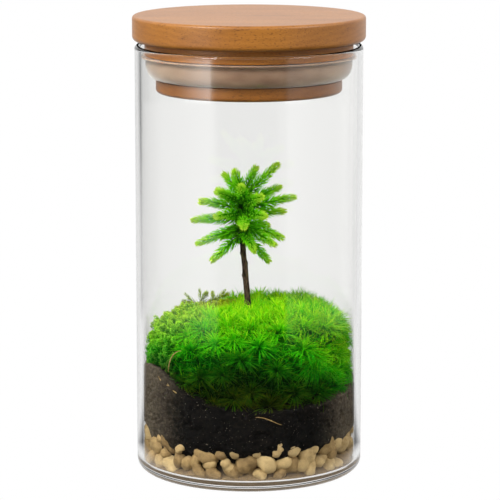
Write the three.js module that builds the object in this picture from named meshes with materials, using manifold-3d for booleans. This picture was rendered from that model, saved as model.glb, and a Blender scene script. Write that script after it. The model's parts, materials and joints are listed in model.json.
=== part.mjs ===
// Closed glass jar terrarium with a wooden stopper lid: gravel, soil, cushion moss, feather moss,
// dark moss sprigs and one small conifer-like tree. Millimetres, +Z up.
// The origin is the centre of the jar's flat base, and the jar's axis is the Z axis.
import * as THREE from "three";
import { mergeVertices } from "three/addons/utils/BufferGeometryUtils.js";
import Module from "manifold-3d";

const wasm = await Module();
wasm.setup();

// ---------- driving dimensions ----------
const TOTAL_HEIGHT = 202;
const CLEARANCE = 0.3; // between two solids that touch on the real thing

const JAR = { outerRadius: 50, wall: 2.6, height: 189, floor: 4.5, heel: 3.2, innerFillet: 3.5, rim: 1.3 };
JAR.innerRadius = JAR.outerRadius - JAR.wall;

const LID = { radius: 51, thickness: 11, topRound: 1.2, lowerRound: 2 };
LID.underside = TOTAL_HEIGHT - LID.thickness;
const SPIGOT = { upperRadius: 45.6, upperEnd: 185.2, radius: 40.8, end: 168.8, round: 1.4 };
const GROOVE = { radius: 38.6, end: 174.6 };
const SEAL = { radius: 45.2, straight: 2.2, lip: 0.9, footRadius: 41 };
SEAL.lipRadius = JAR.innerRadius - CLEARANCE;

const FILL_RADIUS = JAR.innerRadius - CLEARANCE; // what fills the jar lies this far out
const FILL_FLOOR = JAR.floor + CLEARANCE;
const GRAVEL = { frontTop: 14.9, backRise: 3, perRow: 32, stoneOut: 2.7, scallop: 1.5, radius: 44.4 };
GRAVEL.innerRadius = GRAVEL.radius * 0.8;
const SOIL = { atGlass: 44, leftRise: 2, backRise: 8.6, middle: 42 };
const BANK = { rise: 9.5, turn: 212, spread: 22 }; // the soil is banked up at this turn, in degrees
const MOSS = { radius: 40.2, sunk: 3, bare: 1.4, top: 68.5, rise: 25, backRise: 2.6, tufts: 44, detail: 6 };
const CUSHION = { raised: 0, leaf: 6.4, splay: 1.7 };
const FEATHER = { raised: 3.4, leaf: 2.9, splay: 1.7 };
const TWIG = { sides: 4, pitch: 2.4, coreRadius: 0.65, needleOut: 1, needleAhead: 1.5 };
const TRUNK = { radius: 1.35, topRadius: 0.8, rootDepth: 10, top: 123 };
const CROWN = { centre: new THREE.Vector3(-2.6, 0, 112.5), rootSpread: 9.5 };
const SHOOT = { sides: 5, pitch: 2.5, coreRadius: 1.05, needleOut: 1.7, needleAhead: 2.2 };
const ROUND_SIDES = 40;

// ---------- seeded draws ----------
function makeRandom(seed) {
  let state = seed >>> 0;
  return (low = 0, high = 1) => {
    state = (state + 0x6d2b79f5) >>> 0;
    let t = state;
    t = Math.imul(t ^ (t >>> 15), t | 1);
    t ^= t + Math.imul(t ^ (t >>> 7), t | 61);
    return low + ((high - low) * ((t ^ (t >>> 14)) >>> 0)) / 4294967296;
  };
}

// ---------- solids and meshes ----------
function solidOf(geometry) {
  const bare = geometry.index ? geometry.toNonIndexed() : geometry.clone();
  bare.deleteAttribute("normal");
  bare.deleteAttribute("uv");
  const merged = mergeVertices(bare, 1e-4);
  return new wasm.Manifold(
    new wasm.Mesh({
      numProp: 3,
      vertProperties: merged.attributes.position.array,
      triVerts: new Uint32Array(merged.index.array),
    }),
  );
}

// The largest connected piece, so that a scrap left by a cut is dropped.
function largestPiece(solid) {
  return solid.decompose().reduce((best, piece) => (piece.volume() > best.volume() ? piece : best));
}

function meshOf(name, solid, material) {
  const cut = solid.getMesh();
  const geometry = new THREE.BufferGeometry();
  geometry.setAttribute("position", new THREE.BufferAttribute(Float32Array.from(cut.vertProperties), 3));
  geometry.setIndex(new THREE.BufferAttribute(Uint32Array.from(cut.triVerts), 1));
  geometry.computeVertexNormals();
  const mesh = new THREE.Mesh(geometry, material);
  mesh.name = name;
  return mesh;
}

function unionOf(solids) {
  return wasm.Manifold.union(solids);
}

// Keeps the part of a solid on the side of the plane that the normal points to.
function keepSide(solid, normal, point) {
  return solid.trimByPlane([normal.x, normal.y, normal.z], normal.dot(point));
}

// ---------- outlines and turned bodies ----------
// Points of an arc about (radius, z), from one angle to another, in degrees.
function arc(radius, z, size, from, to, steps = 3) {
  return Array.from({ length: steps + 1 }, (_, i) => {
    const angle = THREE.MathUtils.degToRad(from + ((to - from) * i) / steps);
    return [radius + size * Math.cos(angle), z + size * Math.sin(angle)];
  });
}

// A body turned about Z from an outline of [radius, z] points.
function turned(outline, sides = ROUND_SIDES) {
  const points = outline.map(([radius, z]) => new THREE.Vector2(Math.max(radius, 0), z));
  return new THREE.LatheGeometry(points, sides).rotateX(Math.PI / 2);
}

// A turned body whose outline gives the height as a share, 0 on the bottom surface and 1 on the top one.
function layerBody(outline, bottomAt, topAt, sides) {
  const geometry = turned(outline, sides);
  const position = geometry.attributes.position;
  for (let i = 0; i < position.count; i++) {
    const [x, y, share] = [position.getX(i), position.getY(i), position.getZ(i)];
    const low = bottomAt(x, y);
    position.setZ(i, low + share * (topAt(x, y) - low));
  }
  return geometry;
}

// Two directions across a direction, which with it make a right-handed frame.
function framedBy(ahead) {
  const reference = Math.abs(ahead.z) < 0.9 ? new THREE.Vector3(0, 0, 1) : new THREE.Vector3(0, 1, 0);
  const side = reference.cross(ahead).normalize();
  return [side, new THREE.Vector3().crossVectors(ahead, side)];
}

// Points on a circle about a centre, across a direction.
function ringOf(centre, ahead, radius, sides) {
  const [side, rise] = framedBy(ahead);
  return Array.from({ length: sides }, (_, i) => {
    const angle = (i / sides) * 2 * Math.PI;
    const across = side.clone().multiplyScalar(Math.cos(angle)).addScaledVector(rise, Math.sin(angle));
    return centre.clone().addScaledVector(across, radius);
  });
}

// A closed skin over rings of points between two end points. apexOf draws a face out into a spike.
function skinOver(rings, startPoint, endPoint, apexOf = () => null) {
  const corners = [];
  const sides = rings[0].length;
  const last = rings[rings.length - 1];
  for (let j = 0; j < sides; j++) {
    const k = (j + 1) % sides;
    corners.push(startPoint, rings[0][k], rings[0][j], endPoint, last[j], last[k]);
    for (let i = 0; i + 1 < rings.length; i++) {
      const quad = [rings[i][j], rings[i][k], rings[i + 1][k], rings[i + 1][j]];
      const centre = quad.reduce((sum, corner) => sum.add(corner), new THREE.Vector3()).divideScalar(4);
      const apex = apexOf(i, j, centre);
      if (apex) quad.forEach((corner, n) => corners.push(corner, quad[(n + 1) % 4], apex));
      else corners.push(quad[0], quad[1], quad[2], quad[0], quad[2], quad[3]);
    }
  }
  return new THREE.BufferGeometry().setFromPoints(corners);
}

// A round bar along a curve, whose radius depends on the share of its length.
function barAlong(curve, radiusAt, sides, steps, apexOf) {
  const rings = Array.from({ length: steps + 1 }, (_, i) =>
    ringOf(curve.getPoint(i / steps), curve.getTangent(i / steps), radiusAt(i / steps), sides),
  );
  return skinOver(rings, curve.getPoint(0), curve.getPoint(1), apexOf);
}

// ---------- materials ----------
const paint = (color, roughness) => new THREE.MeshStandardMaterial({ color, roughness, metalness: 0 });
const MATERIAL = {
  glass: paint(0xe8ece8, 0.05),
  wood: paint(0xc08a4b, 0.55),
  silicone: paint(0xb7a693, 0.4),
  gravel: paint(0xcdb98c, 0.85),
  soil: paint(0x231d1a, 0.95),
  bark: paint(0x3c2a22, 0.9),
  needles: paint(0x4da60f, 0.6),
  cushion: paint(0x47a00a, 0.6),
  feather: paint(0x79b821, 0.65),
  sprig: paint(0x5c6a1c, 0.75),
};
Object.assign(MATERIAL.glass, { transparent: true, opacity: 0.3 });

const part = new THREE.Group();
part.name = "plant_terrarium";
const place = (name, solid, material) => part.add(meshOf(name, solid, material));

// ---------- jar ----------
// Straight-sided cylinder with a rounded heel, a flat base, a filleted floor and a fire-rounded rim.
function jarOutline() {
  const { outerRadius, innerRadius, height, floor, heel, innerFillet, rim } = JAR;
  return [
    [0, 0],
    ...arc(outerRadius - heel, heel, heel, -90, 0),
    ...arc(outerRadius - rim, height - rim, rim, 0, 180, 4),
    ...arc(innerRadius - innerFillet, floor + innerFillet, innerFillet, 0, -90),
    [0, floor],
  ];
}
place("glass_jar", solidOf(turned(jarOutline())), MATERIAL.glass);

// The space that the filling may take: the inside of the jar up to a height over the moss, a clearance
// away from the glass.
const CAVITY_TOP = 120;
const cavity = solidOf(
  turned([
    [0, FILL_FLOOR],
    ...arc(FILL_RADIUS - JAR.innerFillet, FILL_FLOOR + JAR.innerFillet, JAR.innerFillet, -90, 0, 2),
    [FILL_RADIUS, CAVITY_TOP],
    [0, CAVITY_TOP],
  ]),
);

// ---------- lid and seal ----------
// One turned piece of wood: a thick disc over a stepped spigot with a groove for the seal.
function lidOutline() {
  const { radius, topRound, lowerRound, underside } = LID;
  return [
    [0, SPIGOT.end],
    ...arc(SPIGOT.radius - SPIGOT.round, SPIGOT.end + SPIGOT.round, SPIGOT.round, -90, 0, 2),
    [SPIGOT.radius, GROOVE.end],
    [GROOVE.radius, GROOVE.end],
    [GROOVE.radius, SPIGOT.upperEnd],
    [SPIGOT.upperRadius, SPIGOT.upperEnd],
    [SPIGOT.upperRadius, underside],
    ...arc(radius - lowerRound, underside + lowerRound, lowerRound, -90, 0, 2),
    ...arc(radius - topRound, TOTAL_HEIGHT - topRound, topRound, 0, 90, 2),
    [0, TOTAL_HEIGHT],
  ];
}
place("wooden_lid", solidOf(turned(lidOutline())), MATERIAL.wood);

// A silicone ring in the groove: bowl-shaped outside, with a thin lip at the top that seals on the glass.
function sealOutline() {
  const top = SPIGOT.upperEnd - CLEARANCE;
  const foot = GROOVE.end + CLEARANCE;
  const bore = GROOVE.radius + CLEARANCE;
  const bowlTop = top - SEAL.lip - SEAL.straight;
  const bowl = [70, 50, 30, 12].map((degrees) => {
    const angle = THREE.MathUtils.degToRad(degrees);
    const swell = SEAL.radius - SEAL.footRadius;
    return [SEAL.footRadius + swell * Math.cos(angle), bowlTop - (bowlTop - foot) * Math.sin(angle)];
  });
  return [
    [bore, foot],
    [SEAL.footRadius, foot],
    ...bowl,
    [SEAL.radius, top - SEAL.lip],
    [SEAL.lipRadius, top - SEAL.lip * 0.5],
    [SEAL.lipRadius, top],
    [bore, top],
    [bore, foot],
  ];
}
place("lid_seal", solidOf(turned(sealOutline())), MATERIAL.silicone);

// ---------- gravel ----------
// The level between gravel and soil: lowest along the front glass, and scalloped over the stones along it.
function gravelLevel(x, y) {
  const back = THREE.MathUtils.clamp((y + FILL_RADIUS) / 45, 0, 1);
  const scallop = Math.abs(Math.sin((Math.atan2(y, x) * GRAVEL.perRow) / 2)) * 2 - 1;
  const out = Math.min(Math.hypot(x, y) / GRAVEL.radius, 1);
  const rise = GRAVEL.backRise * Math.sin((back * Math.PI) / 2);
  return GRAVEL.frontTop + rise + GRAVEL.scallop * scallop * out ** 4;
}

// Rings of points round the bed: four up its side, one on its top and one under it.
function gravelRings(random) {
  const ring = (radius, heightAt) =>
    Array.from({ length: GRAVEL.perRow * 2 }, (_, i) => {
      const angle = (i * Math.PI) / GRAVEL.perRow;
      const [x, y] = [radius * Math.cos(angle), radius * Math.sin(angle)];
      return new THREE.Vector3(x, y, heightAt(gravelLevel(x, y) - CLEARANCE / 2));
    });
  const side = [0, 1, 2, 3].map((row) =>
    ring(GRAVEL.radius - (row ? 0.9 : 3.2), (top) => {
      const uneven = row === 1 || row === 2 ? random(-0.7, 0.7) : 0;
      return FILL_FLOOR + ((top - FILL_FLOOR) * row) / 3 + uneven;
    }),
  );
  return [...side, ring(GRAVEL.innerRadius, (top) => top)];
}

// The bed of stones: three staggered rows of blunt stones along the glass, round a solid middle.
function gravelBody() {
  const random = makeRandom(11);
  const rings = gravelRings(random);
  const corners = [];
  const quad = (a, b, c, d) => corners.push(a, b, c, a, c, d);
  const under = new THREE.Vector3(0, 0, FILL_FLOOR);
  const over = new THREE.Vector3(0, 0, gravelLevel(0, 0) - CLEARANCE / 2);
  const sides = GRAVEL.perRow * 2;
  for (let i = 0; i < sides; i++) {
    const j = (i + 1) % sides;
    corners.push(under, rings[0][j], rings[0][i], over, rings[4][i], rings[4][j]);
    quad(rings[3][i], rings[3][j], rings[4][j], rings[4][i]);
  }
  // Two neighbouring faces of a row are drawn out into each stone.
  for (let row = 0; row < 3; row++) {
    for (let i = row % 2; i < sides; i += 2) {
      const [j, k] = [(i + 1) % sides, (i + 2) % sides];
      const [low, high] = [rings[row], rings[row + 1]];
      const edge = [low[i], low[j], low[k], high[k], high[j], high[i]];
      const centre = edge.reduce((sum, corner) => sum.add(corner), new THREE.Vector3()).divideScalar(6);
      const outward = new THREE.Vector3(centre.x, centre.y, 0).setLength(GRAVEL.stoneOut * random(0.75, 1));
      const face = edge.map((corner) => corner.clone().lerp(centre, random(0.3, 0.5)).add(outward));
      edge.forEach((corner, n) => quad(corner, edge[(n + 1) % 6], face[(n + 1) % 6], face[n]));
      const crest = centre.clone().addScaledVector(outward, 1.25);
      face.forEach((corner, n) => corners.push(corner, face[(n + 1) % 6], crest));
    }
  }
  return new THREE.BufferGeometry().setFromPoints(corners);
}
place("gravel_bed", solidOf(gravelBody()).intersect(cavity), MATERIAL.gravel);

// ---------- trunk ----------
// The trunk rises out of the soil and leans a little to the left.
const trunkCurve = new THREE.CatmullRomCurve3([
  new THREE.Vector3(0.8, 1, SOIL.middle - TRUNK.rootDepth),
  new THREE.Vector3(0.2, 0.3, 62),
  new THREE.Vector3(-0.4, 0, 73),
  new THREE.Vector3(-1.5, 0, 86),
  new THREE.Vector3(-2.7, 0, 100),
  new THREE.Vector3(-2.7, 0, TRUNK.top),
]);

function trunkRadius(share) {
  const flare = 0.35 * Math.exp(-share * 7);
  const knots = 0.07 * Math.sin(share * 61) * Math.cos(share * 37);
  return THREE.MathUtils.lerp(TRUNK.radius, TRUNK.topRadius, share ** 1.6) + flare + knots;
}
const trunkHole = solidOf(barAlong(trunkCurve, (share) => trunkRadius(share) + CLEARANCE, 8, 14));
const holeFoot = trunkHole.translate([0, 0, -CLEARANCE]);
place("tree_trunk", solidOf(barAlong(trunkCurve, trunkRadius, 8, 14)), MATERIAL.bark);

// ---------- soil ----------
// Height of the soil along the glass: banked up at the left front and lowest at the front.
function soilAtGlass(x, y) {
  const reach = Math.max(Math.hypot(x, y), 1e-6);
  const turn = THREE.MathUtils.radToDeg(Math.atan2(y, x));
  const fromBank = THREE.MathUtils.euclideanModulo(turn - BANK.turn + 180, 360) - 180;
  const bank = BANK.rise * Math.exp(-((fromBank / BANK.spread) ** 2));
  return SOIL.atGlass - (SOIL.leftRise * x) / reach + (SOIL.backRise * y) / reach + bank;
}

// Height of the soil: level with its middle inside, and meeting the glass at the heights above.
function soilLevel(x, y) {
  const out = Math.min(Math.hypot(x, y) / FILL_RADIUS, 1);
  const lumps = 0.5 * Math.sin(x * 0.43 + 1.3) * Math.cos(y * 0.39 - 0.4);
  return SOIL.middle + (soilAtGlass(x, y) - SOIL.middle) * out ** 2 + lumps;
}

const SOIL_TOP = [
  [FILL_RADIUS * 0.82, 1],
  [FILL_RADIUS * 0.5, 1],
  [0, 1],
];
const soilRim = [
  [0, 0],
  [GRAVEL.innerRadius, 0],
  [GRAVEL.radius, 0],
  [FILL_RADIUS, 0],
  [FILL_RADIUS, 1],
];
const overGravel = (x, y) => gravelLevel(x, y) + CLEARANCE / 2;
const soil = solidOf(layerBody([...soilRim, ...SOIL_TOP], overGravel, soilLevel, GRAVEL.perRow * 2));
place("soil", largestPiece(soil.subtract(holeFoot.add(trunkHole))), MATERIAL.soil);
// The soil with a clearance over it, which everything that grows on it is cut back to. It has half the
// sides of the soil, so the clearance is a little more.
const coverOutline = [[0, 0], [FILL_RADIUS, 0], [FILL_RADIUS, 1], ...SOIL_TOP];
const overSoil = (x, y) => soilLevel(x, y) + CLEARANCE * 1.7;
const soilCover = solidOf(layerBody(coverOutline, () => 5, overSoil, GRAVEL.perRow));

// ---------- leafy shoots of the tree ----------
// Where each shoot's tip stands. They fan out to all sides of the crown.
const SHOOT_TIPS = [
  [-21.7, -5, 120.9],
  [-25.6, 3, 110.8],
  [-23.2, -4, 101.2],
  [-16.4, -10, 94.6],
  [-11, 9, 131.1],
  [-6.2, -4, 134.3],
  [3.1, 5, 134.5],
  [12.8, 0, 136.7],
  [14.1, 10, 125.1],
  [20.3, -3, 122.5],
  [16.3, 7, 114.4],
  [15, -8, 104.6],
  [11.5, -15, 102.7],
  [9.1, 5, 91.5],
  [2.2, -17, 100.3],
  [-2.2, -21.5, 111.7],
  [5.7, -18, 125.2],
  [-14.1, -13, 126.5],
  [-14.1, 13, 123.4],
  [7.5, -18.5, 116.3],
  [-3.5, -14, 129.4],
  [-14.6, -15.5, 115.8],
  [-13, 14, 101],
  [1.5, 20, 119],
  [9, 17, 106],
  [-6, 20, 109],
];

// A shoot that points higher grows from higher up the trunk, so that no two cross.
function shootTo([x, y, z]) {
  const tip = new THREE.Vector3(x, y, z);
  const lift = tip.clone().sub(CROWN.centre).normalize().z;
  const root = CROWN.centre.clone().add(new THREE.Vector3(0, 0, CROWN.rootSpread * lift));
  const way = tip.clone().sub(root).normalize();
  const start = root.clone().addScaledVector(way, TRUNK.topRadius);
  const middle = start.clone().lerp(tip, 0.5).add(new THREE.Vector3(0, 0, 1.1));
  return { root, way, curve: new THREE.QuadraticBezierCurve3(start, middle, tip) };
}

// A tapered stem whose every face is drawn out into a needle that leans towards the tip.
function leafyStem(curve, { sides, pitch, coreRadius, needleOut, needleAhead }, random) {
  const steps = Math.max(3, Math.round(curve.getLength() / pitch));
  const coreAt = (share) => coreRadius * (0.62 + 0.5 * Math.sin(share * Math.PI * 0.62) - 0.62 * share ** 5);
  return barAlong(curve, coreAt, sides, steps, (i, j, centre) => {
    if (i === 0) return null;
    const share = (i + 0.5) / steps;
    const outward = centre.clone().sub(curve.getPoint(share)).normalize();
    const fade = 1.12 - 0.5 * share ** 2.5;
    const apex = centre.clone().addScaledVector(outward, needleOut * fade * random(0.85, 1.15));
    return apex.addScaledVector(curve.getTangent(share), needleAhead * random(0.85, 1.15));
  });
}

// Planes between the shoots' roots keep the needles of two neighbours apart.
const shoots = SHOOT_TIPS.map(shootTo);
const shootRandom = makeRandom(21);
shoots.forEach((shoot, i) => {
  let solid = solidOf(leafyStem(shoot.curve, SHOOT, shootRandom)).subtract(trunkHole);
  shoots.forEach((other, j) => {
    if (i === j) return;
    const normal = shoot.way.clone().sub(other.way).normalize();
    const between = shoot.root.clone().lerp(other.root, 0.5).addScaledVector(normal, CLEARANCE / 2);
    solid = keepSide(solid, normal, between);
  });
  place(`tree_shoot_${String(i + 1).padStart(2, "0")}`, largestPiece(solid), MATERIAL.needles);
});

// ---------- moss ----------
// The plots of the moss in plan: an outer ring along the glass, an inner ring, and one round the trunk.
function mossPlots() {
  const rings = [
    { reach: 34, count: 12, first: 29 },
    { reach: 17, count: 5, first: 1 },
    { reach: 0, count: 1, first: 0 },
  ];
  return rings.flatMap(({ reach, count, first }) =>
    Array.from({ length: count }, (_, i) => {
      const degrees = first + (i * 360) / count;
      const angle = THREE.MathUtils.degToRad(degrees);
      const feather = reach > 30 && degrees > 160 && degrees < 220;
      const sprig = reach > 0 && degrees > 140 && degrees < 150;
      const kind = feather ? "feather" : sprig ? "sprig" : "cushion";
      return { x: reach * Math.cos(angle), y: reach * Math.sin(angle), kind };
    }),
  );
}
const plots = mossPlots();
const NEIGHBOUR_REACH = 36; // plots further apart than this don't touch

function plotAt(x, y) {
  const away = (plot) => Math.hypot(plot.x - x, plot.y - y);
  return plots.reduce((best, plot) => (away(plot) < away(best) ? plot : best));
}

// Half the outline of the moss where it stands highest over the soil, from the middle of its top to its foot.
const mossOutline = new THREE.CubicBezierCurve(
  new THREE.Vector2(0, MOSS.rise),
  new THREE.Vector2(MOSS.radius * 0.94, MOSS.rise),
  new THREE.Vector2(MOSS.radius, MOSS.rise * 0.94),
  new THREE.Vector2(MOSS.radius, 0),
);

// A point of the surface that the leaves grow from, for a direction from the middle of the soil.
function mossFoot(way) {
  const angle = Math.atan2(way.y, way.x);
  const [across, back] = [Math.cos(angle), Math.sin(angle)];
  const rim = soilAtGlass(across, back) - MOSS.sunk;
  if (way.z < 0) {
    const reach = MOSS.radius * Math.hypot(way.x, way.y);
    return new THREE.Vector3(across * reach, back * reach, rim + MOSS.radius * 0.2 * way.z);
  }
  const { x: reach, y: height } = mossOutline.getPointAt(Math.acos(Math.min(way.z, 1)) / (Math.PI / 2));
  const { raised } = plotAt(across * reach, back * reach).kind === "feather" ? FEATHER : CUSHION;
  const top = MOSS.top + (MOSS.backRise * back * reach) / MOSS.radius + raised * 0.5;
  const out = reach + (raised * reach) / MOSS.radius;
  return new THREE.Vector3(across * out, back * out, rim + ((top - rim) * height) / MOSS.rise);
}

// Directions spread evenly over the upper half of a sphere, the middles of the tufts.
const GOLDEN_ANGLE = Math.PI * (3 - Math.sqrt(5));
const tuftMiddles = Array.from({ length: MOSS.tufts }, (_, i) => {
  const z = 1 - (i + 0.5) / MOSS.tufts;
  const flat = Math.sqrt(1 - z * z);
  const turn = i * GOLDEN_ANGLE;
  return mossFoot(new THREE.Vector3(flat * Math.cos(turn), flat * Math.sin(turn), z));
});

// The moss in one piece: every face that stands out of the soil is drawn out into a leaf that leans
// away from the middle of its tuft.
function mossBody() {
  const random = makeRandom(41);
  const ways = new THREE.IcosahedronGeometry(1, MOSS.detail).attributes.position;
  const corners = [];
  for (let i = 0; i < ways.count; i += 3) {
    const face = [0, 1, 2].map((n) => mossFoot(new THREE.Vector3().fromBufferAttribute(ways, i + n)));
    const centre = face[0].clone().add(face[1]).add(face[2]).divideScalar(3);
    if (centre.z < soilLevel(centre.x, centre.y) + MOSS.bare) {
      corners.push(...face);
      continue;
    }
    const { kind } = plotAt(centre.x, centre.y);
    const normal = new THREE.Triangle(...face).getNormal(new THREE.Vector3());
    const middle = tuftMiddles.reduce((a, b) => (a.distanceTo(centre) < b.distanceTo(centre) ? a : b));
    const away = centre.clone().sub(middle).projectOnPlane(normal);
    const leafy = kind === "cushion" ? CUSHION : FEATHER;
    const splay = Math.min(away.length() / CUSHION.leaf, 1) * leafy.splay;
    const length = leafy.leaf * random(0.84, 1.06);
    const apex = centre.clone().addScaledVector(normal, length).addScaledVector(away.normalize(), splay);
    face.forEach((corner, n) => corners.push(corner, face[(n + 1) % 3], apex));
  }
  return new THREE.BufferGeometry().setFromPoints(corners);
}

// Twigs that stand up out of a plot of sprig moss, the first leaning left and the second leaning right.
function sprigTwigs(plot, random) {
  return [-0.3, 0.9].map((lean) => {
    const foot = new THREE.Vector3(plot.x + 2 + 5 * lean, plot.y + 2 * Math.cos(lean * 3), MOSS.top - 2.5);
    const tip = foot.clone().add(new THREE.Vector3(4 * lean - 1, random(-2, 1), random(10, 11.5)));
    const middle = foot.clone().lerp(tip, 0.5).add(new THREE.Vector3(-1.2 * lean, 0, 1));
    return solidOf(leafyStem(new THREE.QuadraticBezierCurve3(foot, middle, tip), TWIG, random));
  });
}

// The moss is cut into its plots by upright planes half way between them.
const moss = solidOf(mossBody()).intersect(cavity).subtract(soilCover.add(trunkHole));
const twigRandom = makeRandom(51);
const placed = { cushion: 0, feather: 0, sprig: 0 };
plots.forEach((plot, i) => {
  let solid = moss;
  if (plot.kind === "sprig") solid = unionOf([solid, ...sprigTwigs(plot, twigRandom)]);
  plots.forEach((other, j) => {
    if (i === j || Math.hypot(plot.x - other.x, plot.y - other.y) > NEIGHBOUR_REACH) return;
    const normal = new THREE.Vector3(plot.x - other.x, plot.y - other.y, 0).normalize();
    const between = new THREE.Vector3(plot.x + other.x, plot.y + other.y, 0).multiplyScalar(0.5);
    solid = keepSide(solid, normal, between.addScaledVector(normal, CLEARANCE / 2));
  });
  placed[plot.kind] += 1;
  const number = String(placed[plot.kind]).padStart(2, "0");
  place(`${plot.kind}_moss_${number}`, largestPiece(solid), MATERIAL[plot.kind]);
});

export default part;
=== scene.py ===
"""A closed glass jar terrarium, dressed for its portrait: jar, stopper lid, gravel, soil, mosses, small tree.

Everything is in metres, +Z up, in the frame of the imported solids. The jar stands on Z = 0 round the Z axis.
"""

from __future__ import annotations

import json
import logging
import math
from dataclasses import dataclass, fields
from enum import Enum
from typing import Sequence

import bpy
import numpy as np
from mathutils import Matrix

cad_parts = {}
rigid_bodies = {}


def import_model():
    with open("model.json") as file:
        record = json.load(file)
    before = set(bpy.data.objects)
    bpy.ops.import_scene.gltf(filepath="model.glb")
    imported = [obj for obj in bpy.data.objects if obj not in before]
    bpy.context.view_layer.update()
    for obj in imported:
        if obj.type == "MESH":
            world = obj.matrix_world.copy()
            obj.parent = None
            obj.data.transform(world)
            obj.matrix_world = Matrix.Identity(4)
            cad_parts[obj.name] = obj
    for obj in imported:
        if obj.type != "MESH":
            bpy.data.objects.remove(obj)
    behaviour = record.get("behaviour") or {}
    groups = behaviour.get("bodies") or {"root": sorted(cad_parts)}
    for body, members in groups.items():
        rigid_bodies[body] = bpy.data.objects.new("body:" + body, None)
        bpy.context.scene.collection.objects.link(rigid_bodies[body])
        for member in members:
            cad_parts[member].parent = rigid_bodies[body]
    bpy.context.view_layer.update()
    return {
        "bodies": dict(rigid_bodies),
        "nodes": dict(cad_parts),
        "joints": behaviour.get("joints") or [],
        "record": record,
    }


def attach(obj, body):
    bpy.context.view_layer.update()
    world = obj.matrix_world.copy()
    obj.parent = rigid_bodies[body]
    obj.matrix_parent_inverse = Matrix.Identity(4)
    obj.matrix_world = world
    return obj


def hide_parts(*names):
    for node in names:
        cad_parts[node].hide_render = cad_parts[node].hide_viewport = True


Array = np.ndarray
Colour = tuple[float, float, float]
LOG = logging.getLogger("terrarium")
MM = 0.001
BODY = "root"
GOLDEN_ANGLE = math.pi * (3 - math.sqrt(5))
UP = np.array([0.0, 0.0, 1.0])


# ---------- arithmetic on arrays ----------
def unit(vectors: Array) -> Array:
    """Each vector divided by its own length."""
    return vectors / np.maximum(np.linalg.norm(vectors, axis=-1, keepdims=True), 1e-12)


def smoothstep(low: float, high: float, values: Array) -> Array:
    """0 below low, 1 above high, and 3t^2 - 2t^3 between them."""
    share = np.clip((values - low) / (high - low), 0, 1)
    return share * share * (3 - 2 * share)


def blended(first: Array | float, second: Array | float, share: Array | float) -> Array | float:
    """first where share is 0 and second where it is 1."""
    return first + (second - first) * share


def bell(values: Array, width: float) -> Array:
    """1 at zero, and e^-1 at the width to both sides."""
    return np.exp(-((values / width) ** 2))


def turns(sides: int) -> Array:
    """The angles of that many even steps round a circle."""
    return np.linspace(0, 2 * math.pi, sides, endpoint=False)


def circle(sides: int) -> Array:
    """The corners of a regular outline of radius 1, sides x 2."""
    return spun(turns(sides))[:, :2]


def spun(angle: Array) -> Array:
    """Unit vectors in the floor plane at these angles from +X."""
    return np.stack([np.cos(angle), np.sin(angle), np.zeros_like(angle)], -1)


def hoops(reach: Array, height: Array, sides: int) -> Array:
    """Rings about Z, (reach cos a, reach sin a, height), from a column of reaches and one of heights."""
    turn = turns(sides)
    return np.stack([reach * np.cos(turn), reach * np.sin(turn), height + 0 * turn], -1)


def on_axis(height: float) -> Array:
    """One point on the Z axis, as the end of a skin."""
    return np.array([[0, 0, height]])


def reach_of(points: Array) -> Array:
    """How far each point is from the Z axis, and never quite 0."""
    return np.maximum(np.hypot(points[..., 0], points[..., 1]), 1e-9)


def level_way(points: Array) -> Array:
    """Level unit vectors from the Z axis to each point."""
    return unit(points * [1, 1, 0])


def narrowed(points: Array, scale: Array) -> Array:
    """Points with x and y times a scale, at their own heights."""
    return points * np.stack([scale, scale, np.ones_like(scale)], -1)


@dataclass(frozen=True)
class Lumps:
    """Smooth random values in space: a lattice of random numbers, blended between its corners."""

    seed: int
    size: float
    cells: int = 24

    def at(self, points: Array) -> Array:
        """Values from -1 to 1.

        Args:
            points: Places, three numbers each on the last axis.

        Returns:
            One value for each place: the corner values of its cell, each weighted by smooth shares.
        """
        lattice = np.random.default_rng(self.seed).uniform(-1, 1, (self.cells,) * 3)
        place = points / self.size
        cell = np.floor(place).astype(int)
        share = smoothstep(0, 1, place - cell)
        total = np.zeros(points.shape[:-1])
        for corner in np.ndindex(2, 2, 2):
            weight = np.prod(np.where(corner, share, 1 - share), axis=-1)
            index = np.moveaxis((cell + corner) % self.cells, -1, 0)
            total += weight * lattice[tuple(index)]
        return total


# ---------- surfaces ----------
def in_scene(name: str, data: bpy.types.ID) -> bpy.types.Object:
    """Adds an object to the scene, at the origin.

    Args:
        name: Its name.
        data: Its mesh, camera or light.

    Returns:
        The new object.
    """
    thing = bpy.data.objects.new(name, data)
    bpy.context.scene.collection.objects.link(thing)
    return thing


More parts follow.
